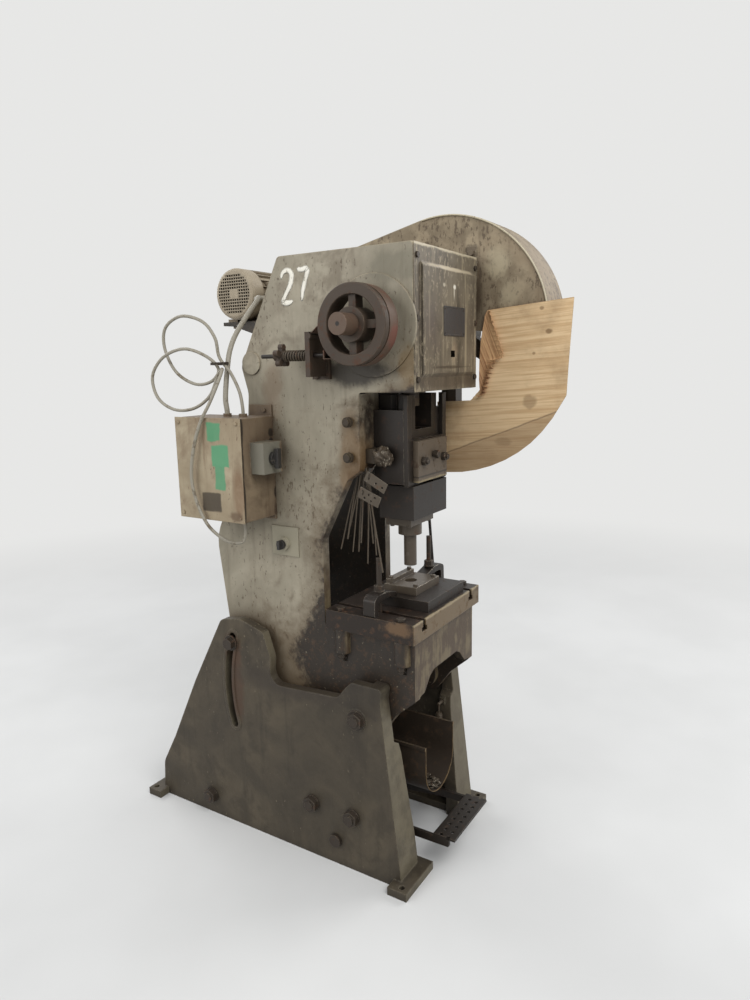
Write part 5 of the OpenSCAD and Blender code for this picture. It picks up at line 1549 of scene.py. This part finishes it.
@dataclass
class BrushedNumber:
    """Two digits brushed on the left cheek in white.

    Attributes:
        face: x of the cheek.
        left: y of the number's left side, as it is read.
        foot: z of its foot.
        tall: Height of a digit.
        brush: Width of the brush.
        strokes: The strokes as across, up and share of the brush, one digit high.
        steps: Pieces between two points of a stroke.
        thin: Share of the brush at the very ends of a stroke.
        swell: What each of the next points gains on that.
        ends: Points over which an end swells.
        flat: Share of the brush's width that the paint stands out.
        gap: Distance below which the strokes' points merge.
        sides: How round the brush is.
    """

    face: float = -0.200
    left: float = -0.098
    foot: float = 1.752
    tall: float = 0.094
    brush: float = 0.0170
    strokes: tuple[tuple[Point, ...], ...] = (
        ((0.04, 0.76, 0.6), (0.14, 0.95, 0.9), (0.34, 1.0, 1.0), (0.47, 0.86, 1.1),
         (0.42, 0.60, 1.1), (0.24, 0.32, 1.0), (0.05, 0.05, 1.0)),
        ((0.03, 0.05, 0.9), (0.26, 0.02, 1.1), (0.50, 0.07, 0.7)),
        ((0.68, 1.02, 0.7), (0.86, 0.98, 1.0), (1.12, 1.03, 1.1)),
        ((1.12, 1.03, 1.1), (1.02, 0.72, 1.0), (0.90, 0.40, 1.0), (0.83, 0.04, 0.6)))
    steps: int = 8
    thin: float = 0.45
    swell: float = 0.18
    ends: int = 4
    flat: float = 0.09
    gap: float = 0.0002
    sides: int = 3

    def build(self) -> None:
        """Brush the digits as flat ribbons of paint."""
        ribbons = []
        for stroke in self.strokes:
            fine = through(stroke, self.steps)
            line = [Vector((self.face, self.left - p[0] * self.tall, self.foot + p[1] * self.tall))
                    for p in fine]
            shares = [p[2] for p in fine]
            for i in range(self.ends):
                shares[i] *= self.thin + self.swell * i
                shares[-1 - i] *= self.thin + self.swell * i
            ribbons.append(wire("stroke", line, self.brush, self.sides, shares))
        piece = joined("brushed_number", ribbons)
        with edit(piece):
            weld(self.gap)
        for vertex in piece.data.vertices:
            vertex.co.x = self.face + (vertex.co.x - self.face) * self.flat
        settle(piece, "frame", Finish.WHITE)


@dataclass
class BlankPlate:
    """The bare plate on the front cover, with its rim and four rivets.

    Attributes:
        low: Lower left corner on the cover, x and z.
        high: Upper right corner.
        face: y of the cover's raised face.
        thick: Thickness of the plate.
        bedded: How far the plate is let into the cover's paint.
        corner: Radius of its corners.
        corner_steps: Faces round a corner.
        rim: Width of its rim.
        slope: Width of the slope inside the rim.
        sunk: How far the field is sunk.
        rivet: Radius of a rivet's head.
        rivet_flat: Share of it that the head stands out.
        rivet_set: How far the head's middle lies behind the plate's face.
        rivet_in: Distance of a rivet from the plate's edges.
        rivet_rings: Rings of faces on a rivet.
    """

    low: Pair = (-0.044, 1.648)
    high: Pair = (0.094, 1.731)
    face: float = -0.5570
    thick: float = 0.0016
    bedded: float = 0.0004
    corner: float = 0.005
    corner_steps: int = 4
    rim: float = 0.004
    slope: float = 0.0008
    sunk: float = 0.0007
    rivet: float = 0.0032
    rivet_flat: float = 0.55
    rivet_set: float = 0.0006
    rivet_in: float = 0.008
    rivet_rings: int = 8

    def build(self) -> None:
        """Cut the plate, sink its field and rivet it on."""
        front = self.face - self.thick
        plate = bar("blank_plate", (self.low[0], front, self.low[1]),
                    (self.high[0], self.face + self.bedded, self.high[1]))
        with edit(plate):
            pick_faces(plate, lambda middle, normal: normal.y < -SQUARE_ON)
            bpy.ops.mesh.inset(thickness=self.rim, depth=0)
            bpy.ops.mesh.inset(thickness=self.slope, depth=-self.sunk)
            pick_edges(plate, lambda a, b: abs(a.y - b.y) > self.thick - self.sunk)
            bpy.ops.mesh.bevel(offset=self.corner, segments=self.corner_steps)
        settle(plate, "frame", Finish.PLATE)
        corners = [(x, z) for x in (self.low[0] + self.rivet_in, self.high[0] - self.rivet_in)
                   for z in (self.low[1] + self.rivet_in, self.high[1] - self.rivet_in)]
        for i, (x, z) in enumerate(corners):
            rivet = ball(f"plate_rivet_{i + 1}", (x, front + self.rivet_set, z), self.rivet,
                         (1, self.rivet_flat, 1), self.rivet_rings)
            settle(rivet, "frame", Finish.SCREW)


@dataclass
class BrakeSpring:
    """The coil that keeps the brake band tight on its rod.

    Attributes:
        axis: x and z of the rod.
        start: y where the coil begins.
        end: y where it ends.
        outside: Diameter over the coil.
        thick: Diameter of the wire.
        turns: Number of turns.
        closed: How many turns lie flat at each end.
        steps: Pieces in a turn.
        sides: How round the wire is.
    """

    axis: Pair = (-0.267, 1.600)
    start: float = -0.249
    end: float = -0.161
    outside: float = 0.032
    thick: float = 0.0056
    turns: int = 10
    closed: float = 0.7
    steps: int = 20
    sides: int = 3

    def build(self) -> None:
        """Wind the coil with flat turns at its ends."""
        radius = (self.outside - self.thick) / 2
        open_turns = self.turns - 2 * self.closed
        line = []
        for i in range(self.turns * self.steps + 1):
            turn = i / self.steps
            lead = min(max((turn - self.closed) / open_turns, 0), 1)
            y = self.start + self.thick / 2 + lead * (self.end - self.start - self.thick)
            angle = 2 * math.pi * turn
            line.append(Vector((self.axis[0] + radius * math.cos(angle), y,
                                self.axis[1] + radius * math.sin(angle))))
        piece = smooth(wire("brake_coil", line, self.thick, self.sides))
        settle(piece, "frame", Finish.SPRING)
        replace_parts(piece, "brake_spring")


# Ply


@dataclass
class PlySheet:
    """A thin sheet of ply cut to an outline, a little bent, with its cut edges.

    Attributes:
        name: Name of the piece.
        face: x of its outer face.
        thick: Its thickness.
        behind: Outline on the far side, as height and y, from the bottom up.
        front: Outline on the near side, likewise.
        rows: Rows of faces up the sheet.
        columns: Columns of faces across it.
        finish: Its finish.
        gap: Distance below which its points merge.
        crisp: Angle in degrees above which its edges stay crisp.
        crowd: How its rows crowd towards the foot, as a power.
        late: How late up the sheet its top edge's slant begins, as a power.
        teeth: How close its splinters lie, the small and the large ones, in radians per metre.
        teeth_start: Angle at which the large ones begin.
    """

    name: str
    face: float
    thick: float
    behind: tuple[Pair, ...]
    front: tuple[Pair, ...]
    rows: int
    columns: int
    finish: Finish
    gap: float = 0.0003
    crisp: float = 35
    crowd: float = 1.5
    late: float = 3
    teeth: Pair = (900, 251)
    teeth_start: float = 0

    def across(self, outline: tuple[Pair, ...], height: float) -> float:
        """Read an outline at a height.

        Args:
            outline: Heights and y, from the bottom up.
            height: The height.

        Returns:
            The outline's y there.
        """
        for (low, start), (high, end) in zip(outline, outline[1:]):
            if height <= high:
                return start + (end - start) * (height - low) / (high - low)
        return outline[-1][1]

    def bent(self, y: float, z: float, share: float) -> float:
        """How far along X a place stands out from flat, which a flat sheet doesn't."""
        return 0.0

    def slant(self, share: float) -> float:
        """How much higher the top edge is than at the near side."""
        return 0.0

    def torn(self, height: float) -> Pair:
        """How far the far and the near side wander at a height."""
        return 0.0, 0.0

    def splinter(self, height: float, size: float) -> float:
        """How far a splintered side of that size wanders at a height."""
        return (size * math.sin(height * self.teeth[0])
                * math.sin(height * self.teeth[1] + self.teeth_start))

    def build(self) -> Piece:
        """Cut the sheet from a blank, bend it and give it its thickness.

        Returns:
            The sheet.
        """
        clear_bench()
        bpy.ops.mesh.primitive_grid_add(x_subdivisions=self.columns, y_subdivisions=self.rows,
                                        size=1)
        piece = named(self.name)
        foot, top = self.front[0][0], self.front[-1][0]
        for vertex in piece.data.vertices:
            share, up = vertex.co.x + 0.5, vertex.co.y + 0.5
            z = foot + (top - foot) * up ** self.crowd
            far, near = (self.across(side, z) + wander
                         for side, wander in zip((self.behind, self.front), self.torn(z)))
            y = far + (near - far) * share
            z += self.slant(share) * up ** self.late
            vertex.co = (self.face + self.thick / 2 + self.bent(y, z, share), y, z)
        with edit(piece):
            weld(self.gap)
            bpy.ops.mesh.normals_make_consistent(inside=False)
        smooth(thickened(piece, self.thick), self.crisp)
        return settle(piece, "frame", self.finish)


@dataclass
class LowerPly(PlySheet):
    """The lower guard: bent away below the crease, clear of the flywheel's rim.

    Attributes:
        bow: How far it bows out and in above the crease.
        waves: How fast the bow comes and goes along Y and up, in radians per metre.
        still: Height of the bow's middle.
        fold: How far it turns inwards below the crease, per metre.
        folded: Distance below the crease over which it turns.
        rise: How much higher its far corner is.
        ragged: Size of the splinters on its near side.
        ragged_from: Height above which that side is splintered.
    """

    bow: float = 0.0022
    waves: Pair = (9, 16)
    still: float = 1.2
    fold: float = 0.26
    folded: float = 0.11
    rise: float = 0.023
    ragged: float = 0.0022
    ragged_from: float = 1.45

    def bent(self, y: float, z: float, share: float) -> float:
        """Bow out a little above the crease and turn inwards below it.

        Args:
            y: The place's y.
            z: The place's height.
            share: How far across the sheet it is, 0 at the far side.

        Returns:
            Distance along X.
        """
        below = max(CREASE_HEIGHT - CREASE_RISE * y - z, 0.0)
        wave = math.sin((z - self.still) * self.waves[1] + y * self.waves[0]) - 1
        return self.bow * wave + min(below, self.folded) * self.fold

    def slant(self, share: float) -> float:
        """Rise towards the far corner."""
        return self.rise * (1 - share)

    def torn(self, height: float) -> Pair:
        """Break the cut edge by the flap into splinters."""
        return 0.0, self.splinter(height, self.ragged if height > self.ragged_from else 0.0)


@dataclass
class TornFlap(PlySheet):
    """The inner ply that a tear laid bare, curled off along its jagged side.

    Attributes:
        lift: How far it stands off the sheet all over.
        curl: How far the jagged side curls off.
        flat: Share of its width that doesn't curl.
        long_splinter: Size of the splinters below the bend in its jagged side.
        short_splinter: Size of those above it.
        bend: Height of that bend.
        teeth: How close its splinters lie, the small and the large ones, in radians per metre.
        teeth_start: Angle at which the large ones begin.
    """

    lift: float = 0.0012
    curl: float = 0.020
    flat: float = 0.2
    long_splinter: float = 0.011
    short_splinter: float = 0.004
    bend: float = 1.59
    teeth: Pair = (620, 217)
    teeth_start: float = 1

    def bent(self, y: float, z: float, share: float) -> float:
        """Curl the jagged side off the sheet."""
        return -self.curl * max(1 - share - self.flat, 0.0) ** 2 - self.lift

    def torn(self, height: float) -> Pair:
        """Splinter the torn side, and leave the side by the cover straight."""
        size = self.long_splinter if height < self.bend else self.short_splinter
        return self.splinter(height, size), 0.0


@dataclass
class PlyGuard:
    """The lower guard with its torn flap, in place of the flat sheet.

    Attributes:
        sheet_behind: The sheet's far side, as height and y.
        sheet_front: Its near side.
        flap_behind: The flap's jagged side.
        flap_front: Its side by the cover.
        flap_thick: Thickness of the flap.
        flap_out: How far the flap's face lies outside the sheet's.
        sheet_faces: The sheet's rows and columns of faces.
        flap_faces: The flap's rows and columns of faces.
    """

    sheet_behind: tuple[Pair, ...] = (
        (1.2100, -0.4030), (1.2143, -0.4798), (1.2243, -0.5317), (1.2402, -0.5821),
        (1.2617, -0.6304), (1.2885, -0.6759), (1.3203, -0.7181), (1.357, -0.756),
        (1.400, -0.792), (1.464, -0.832), (1.731, -0.8455))
    sheet_front: tuple[Pair, ...] = (
        (1.2100, -0.4010), (1.4480, -0.4010), (1.4520, -0.5200), (1.5000, -0.5680),
        (1.7310, -0.5750))
    flap_behind: tuple[Pair, ...] = (
        (1.465, -0.556), (1.479, -0.574), (1.503, -0.580), (1.534, -0.589), (1.562, -0.599),
        (1.581, -0.616), (1.589, -0.637), (1.628, -0.624), (1.671, -0.608), (1.698, -0.598),
        (1.729, -0.589))
    flap_front: tuple[Pair, ...] = (
        (1.465, -0.5545), (1.519, -0.550), (1.575, -0.551), (1.638, -0.555), (1.715, -0.568),
        (1.729, -0.576))
    flap_thick: float = 0.0018
    flap_out: float = 0.0024
    sheet_faces: tuple[int, int] = (120, 60)
    flap_faces: tuple[int, int] = (90, 14)

    def build(self) -> None:
        """Hang the sheet and its flap."""
        low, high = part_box("plywood_guard")
        sheet = LowerPly("lower_ply", low.x, high.x - low.x, self.sheet_behind, self.sheet_front,
                         *self.sheet_faces, Finish.PLY)
        flap = TornFlap("torn_flap", low.x - self.flap_out, self.flap_thick, self.flap_behind,
                        self.flap_front, *self.flap_faces, Finish.SPLINTER)
        for ply in (sheet, flap):
            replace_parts(ply.build(), "plywood_guard")


# What hangs and lies about


@dataclass
class GreaseLump:
    """The lump of old grease and metal dust on the ram's stop bolt.

    Attributes:
        place: Its middle.
        radius: Its radius.
        flat: How far it is pressed along each axis.
        swells: How fine its lumps are, and how high, from the broad to the fine ones.
        rings: Rings of faces between its poles.
    """

    place: Point = (-0.147, -0.412, 1.309)
    radius: float = 0.0265
    flat: Point = (1.15, 1, 1.05)
    swells: tuple[Pair, ...] = ((42, 0.40), (110, 0.20), (300, 0.08))
    rings: int = 40

    def build(self) -> None:
        """Daub the lump on."""
        middle = Vector(self.place)
        lump = ball("grease_lump", self.place, self.radius, self.flat, self.rings)
        for vertex in lump.data.vertices:
            away = vertex.co - middle
            swell = sum(high * noise.noise(away * fine) for fine, high in self.swells)
            vertex.co = middle + away * (1 + swell)
        settle(lump, "frame", Finish.GREASE)


@dataclass
class FanGrille:
    """Upright bars behind the fan cover's slots, which leave rows of square holes.

    Attributes:
        face: x of the bars' outer side.
        deep: How deep they are.
        centre: y and z of the fan.
        reach: Radius that they stay within.
        pitch: Distance between two bars.
        wide: Width of a bar.
        side: Number of bars on each side of the middle one.
        arris: How far their outer edges are bevelled.
        arris_steps: Faces across a bevelled edge.
    """

    face: float = -0.0192
    deep: float = 0.0016
    centre: Pair = (0.250, 1.817)
    reach: float = 0.070
    pitch: float = 0.0102
    wide: float = 0.0036
    side: int = 6
    arris: float = 0.0005
    arris_steps: int = 2

    def build(self) -> None:
        """Cut every bar to its length and join them."""
        bars = []
        for i in range(-self.side, self.side + 1):
            y, z = self.centre[0] + i * self.pitch, self.centre[1]
            half = math.sqrt(self.reach ** 2 - (i * self.pitch) ** 2)
            piece = bar("fan_bar", (self.face, y - self.wide / 2, z - half),
                        (self.face + self.deep, y + self.wide / 2, z + half))
            with edit(piece):
                pick_edges(piece, lambda a, b: max(a.x, b.x) < self.face + self.deep / 2)
                bpy.ops.mesh.bevel(offset=self.arris, segments=self.arris_steps)
            bars.append(piece)
        settle(joined("fan_grille", bars), "frame", Finish.MOTOR)


@dataclass
class GuardBead:
    """The rolled wire edge round the front of the hood.

    Attributes:
        face: x of the wire's middle.
        centre: y and z of the hood's round front.
        radius: Radius of the wire's middle line.
        thick: Thickness of the wire.
        first: Angle at which it begins, in degrees, over the front.
        last: Angle at which it ends, on top.
        steps: Pieces between them.
    """

    face: float = 0.2262
    centre: Pair = (-0.417, 1.676)
    radius: float = 0.3530
    thick: float = 0.0054
    first: float = 184.0
    last: float = 78.0
    steps: int = 60

    def build(self) -> None:
        """Roll the wire round the hood's edge."""
        line = []
        for i in range(self.steps + 1):
            angle = math.radians(self.first + (self.last - self.first) * i / self.steps)
            line.append(Vector((self.face, self.centre[0] + self.radius * math.cos(angle),
                                self.centre[1] + self.radius * math.sin(angle))))
        bead = smooth(wire("guard_bead", line, self.thick))
        settle(bead, "frame", Finish.BEAD)


@dataclass
class PunchedStrip:
    """A short flat strip with punched holes, which hangs under the lump of grease.

    Attributes:
        name: Name of the piece.
        centre: Its middle.
        way: y and z of its long direction.
        long: Its length.
        wide: Its width.
        holes: Middles of its holes from its own middle, along and across.
        thick: Thickness of the sheet.
        hole: Radius of a hole.
        hole_sides: How round a hole is.
        arris: How far its short edges are bevelled.
    """

    name: str
    centre: Point
    way: Pair
    long: float
    wide: float
    holes: tuple[Pair, ...]
    thick: float = 0.0016
    hole: float = 0.0034
    hole_sides: int = 16
    arris: float = 0.0003

    def build(self) -> None:
        """Shear the strip, punch its holes and hang it up."""
        clear_bench()
        bpy.ops.mesh.primitive_plane_add(size=1)
        piece = named(self.name)
        piece.scale = (self.long, self.wide, 1)
        fixed(piece)
        with edit(piece):
            bpy.ops.mesh.select_all(action="SELECT")
            bpy.ops.mesh.delete(type="ONLY_FACE")
            for along, over in self.holes:
                bpy.ops.mesh.primitive_circle_add(vertices=self.hole_sides, radius=self.hole,
                                                  location=(along, over, 0))
            bpy.ops.mesh.select_all(action="SELECT")
            bpy.ops.mesh.fill()
        thickened(piece, self.thick)
        with edit(piece):
            pick_edges(piece, lambda a, b: abs(a.z - b.z) < self.arris
                       and min(abs(a.x), abs(b.x)) > self.long / 2 - self.arris)
            bpy.ops.mesh.bevel(offset=self.arris, segments=1)
        flat = Vector(self.way).normalized()
        turn = Matrix(((0, 0, 1), (flat.x, -flat.y, 0), (flat.y, flat.x, 0))).to_4x4()
        piece.matrix_world = Matrix.Translation(self.centre) @ turn
        settle(fixed(piece), "frame", Finish.BRIGHT)


@dataclass
class RodBundle:
    """The thin rods and punched strips that are tied to the ram's stop bolt.

    Attributes:
        strips: The strips.
        rods: Each rod's two ends in millimetres, and its thickness.
        bends: How far a rod's middle is bent along X and Y, in millimetres.
        bend_steps: Angles by which that changes from one rod to the next, in radians.
        rod_steps: Pieces between two points of a rod.
        crisp: Angle in degrees above which a rod's edges stay crisp.
        loop: Middle of the tie's loop round the rods, in millimetres.
        loop_reach: How far the loop goes along X and Y.
        loop_step: Angle between two of its points.
        loop_count: Number of its points.
        loop_rise: How far it rises, per radian.
        loop_end: Where the loop's wire goes to the bolt.
        hanger: The wire that the strips hang by.
        tie_thick: Thickness of both wires.
        tie_steps: Pieces between two points of them.
    """

    strips: tuple[PunchedStrip, ...] = (
        PunchedStrip("upper_strip", (-0.189, -0.411, 1.2375), (-0.068, -0.036), 0.077, 0.032,
                     ((-0.024, 0.003), (0.002, 0.003), (0.026, 0.003))),
        PunchedStrip("lower_strip", (-0.186, -0.386, 1.1915), (-0.070, -0.028), 0.076, 0.034,
                     ((-0.026, -0.007), (-0.004, -0.006), (0.018, -0.006), (-0.014, 0.009),
                      (0.010, 0.009))))
    rods: tuple[tuple[Point, Point, float], ...] = (
        ((-152, -335, 1275), (-158, -262, 1015), 4.4),
        ((-156, -347, 1277), (-160, -328, 1015), 5.0),
        ((-161, -356, 1272), (-166, -341, 1045), 4.2),
        ((-154, -363, 1278), (-156, -357, 981), 4.6),
        ((-165, -358, 1270), (-172, -388, 1050), 4.0),
        ((-170, -367, 1274), (-178, -423, 967), 4.8),
        ((-159, -338, 1270), (-166, -293, 1052), 5.2),
        ((-167, -348, 1276), (-174, -316, 1016), 3.8),
        ((-162, -352, 1268), (-166, -302, 1090), 4.4),
        ((-157, -366, 1271), (-162, -392, 1012), 3.6))
    bends: Pair = (1.5, 2.5)
    bend_steps: Pair = (2.1, 1.0)
    rod_steps: int = 4
    crisp: float = 40
    loop: Point = (-161, -351, 1262)
    loop_reach: Pair = (13, 20)
    loop_step: float = 0.8
    loop_count: int = 10
    loop_rise: float = 3.0
    loop_end: tuple[Point, ...] = ((-152, -372, 1292), (-148, -398, 1304))
    hanger: tuple[Point, ...] = (
        (-148, -404, 1302), (-176, -402, 1284), (-191, -392, 1262), (-193, -388, 1250),
        (-185, -387, 1247), (-182, -372, 1222), (-190, -365, 1203), (-184, -363, 1196))
    tie_thick: float = 0.0018
    tie_steps: int = 5

    def build(self) -> None:
        """Hang the strips and the rods, and tie them on."""
        for strip in self.strips:
            strip.build()
        for i, (top, foot, thick) in enumerate(self.rods):
            bend = Vector((self.bends[0] * math.sin(i * self.bend_steps[0]),
                           self.bends[1] * math.cos(i * self.bend_steps[1]), 0))
            middle = (Vector(top) + Vector(foot)) / 2 + bend
            line = [p * MM for p in through((top, middle, foot), self.rod_steps)]
            rod = smooth(wire(f"thin_rod_{i + 1}", line, thick * MM), self.crisp)
            settle(rod, "frame", Finish.SPRING)
        angles = [self.loop_step * i for i in range(self.loop_count)]
        loop = [(self.loop[0] + self.loop_reach[0] * math.cos(angle),
                 self.loop[1] + self.loop_reach[1] * math.sin(angle),
                 self.loop[2] + self.loop_rise * angle) for angle in angles]
        for name, points in (("rod_tie", (*loop, *self.loop_end)), ("strip_tie", self.hanger)):
            line = [p * MM for p in through(points, self.tie_steps)]
            tie = smooth(wire(name, line, self.tie_thick))
            settle(tie, "frame", Finish.SCREW)


@dataclass
class PunchedSlugs:
    """The slugs that the punch cut out, on the floor of the trough at its front.

    Attributes:
        radius: Radius of a slug.
        sides: How round it is.
        thick: Its thickness.
        rim: Width of its rim.
        dish: How far its faces are dished.
        count: Number of slugs.
        seed: What the throw starts from.
        axis: Height of the middle of the trough's round floor.
        floor: Distance from that to a slug that lies on the floor.
        front: y of the foremost slug.
        spread: How far the slugs lie up the trough's sides, in radians.
        heap: How far they lie above its floor.
        depth: How far they lie back in it.
        lean: How far they lean, in radians.
    """

    radius: float = 0.0062
    sides: int = 16
    thick: float = 0.0016
    rim: float = 0.0010
    dish: float = 0.0003
    count: int = 46
    seed: int = 27
    axis: float = 0.3012
    floor: float = 0.0934
    front: float = -0.516
    spread: float = 0.16
    heap: float = 0.0025
    depth: float = 0.045
    lean: float = 0.15

    def throw(self, dice: random.Random) -> Matrix:
        """Let one slug fall.

        Args:
            dice: What decides where it falls.

        Returns:
            Its place and turn.
        """
        angle = dice.gauss(0, self.spread)
        down = self.floor - abs(dice.gauss(0, self.heap))
        place = Vector((down * math.sin(angle), self.front + abs(dice.gauss(0, self.depth)),
                        self.axis - down * math.cos(angle)))
        lean = Matrix.Rotation(-angle + dice.gauss(0, self.lean), 4, "Y")
        return (Matrix.Translation(place) @ lean
                @ Matrix.Rotation(dice.gauss(0, self.lean), 4, "X"))

    def build(self) -> None:
        """Turn one slug, copy it, and throw them all into the trough."""
        clear_bench()
        bpy.ops.mesh.primitive_cylinder_add(vertices=self.sides, radius=self.radius,
                                            depth=self.thick)
        first = named("punched_slugs")
        with edit(first):
            pick_faces(first, lambda middle, normal: abs(normal.z) > SQUARE_ON)
            bpy.ops.mesh.inset(thickness=self.rim, depth=-self.dish)
        slugs = [first]
        for _ in range(self.count - 1):
            slug = first.copy()
            slug.data = first.data.copy()
            bpy.context.scene.collection.objects.link(slug)
            slugs.append(slug)
        dice = random.Random(self.seed)
        for slug in slugs:
            slug.matrix_world = self.throw(dice)
        heap = fixed(joined("punched_slugs", slugs))
        settle(heap, "base", Finish.BRIGHT)


def main() -> None:
    """Build the scene in order."""
    logging.basicConfig(level=logging.INFO, format="%(message)s")
    studio = Studio()
    studio.set_camera()
    for piece in (MOTOR_LEAD, LOOP_CABLE, TwistedTie()):
        piece.build()
    studio.light()
    studio.lay_floor()
    dress_nodes()
    for piece in (BrushedNumber(), BlankPlate(), BrakeSpring(), PlyGuard(), GreaseLump(),
                  FanGrille(), GuardBead(), RodBundle(), PunchedSlugs()):
        piece.build()


if __name__ == "__main__":
    main()
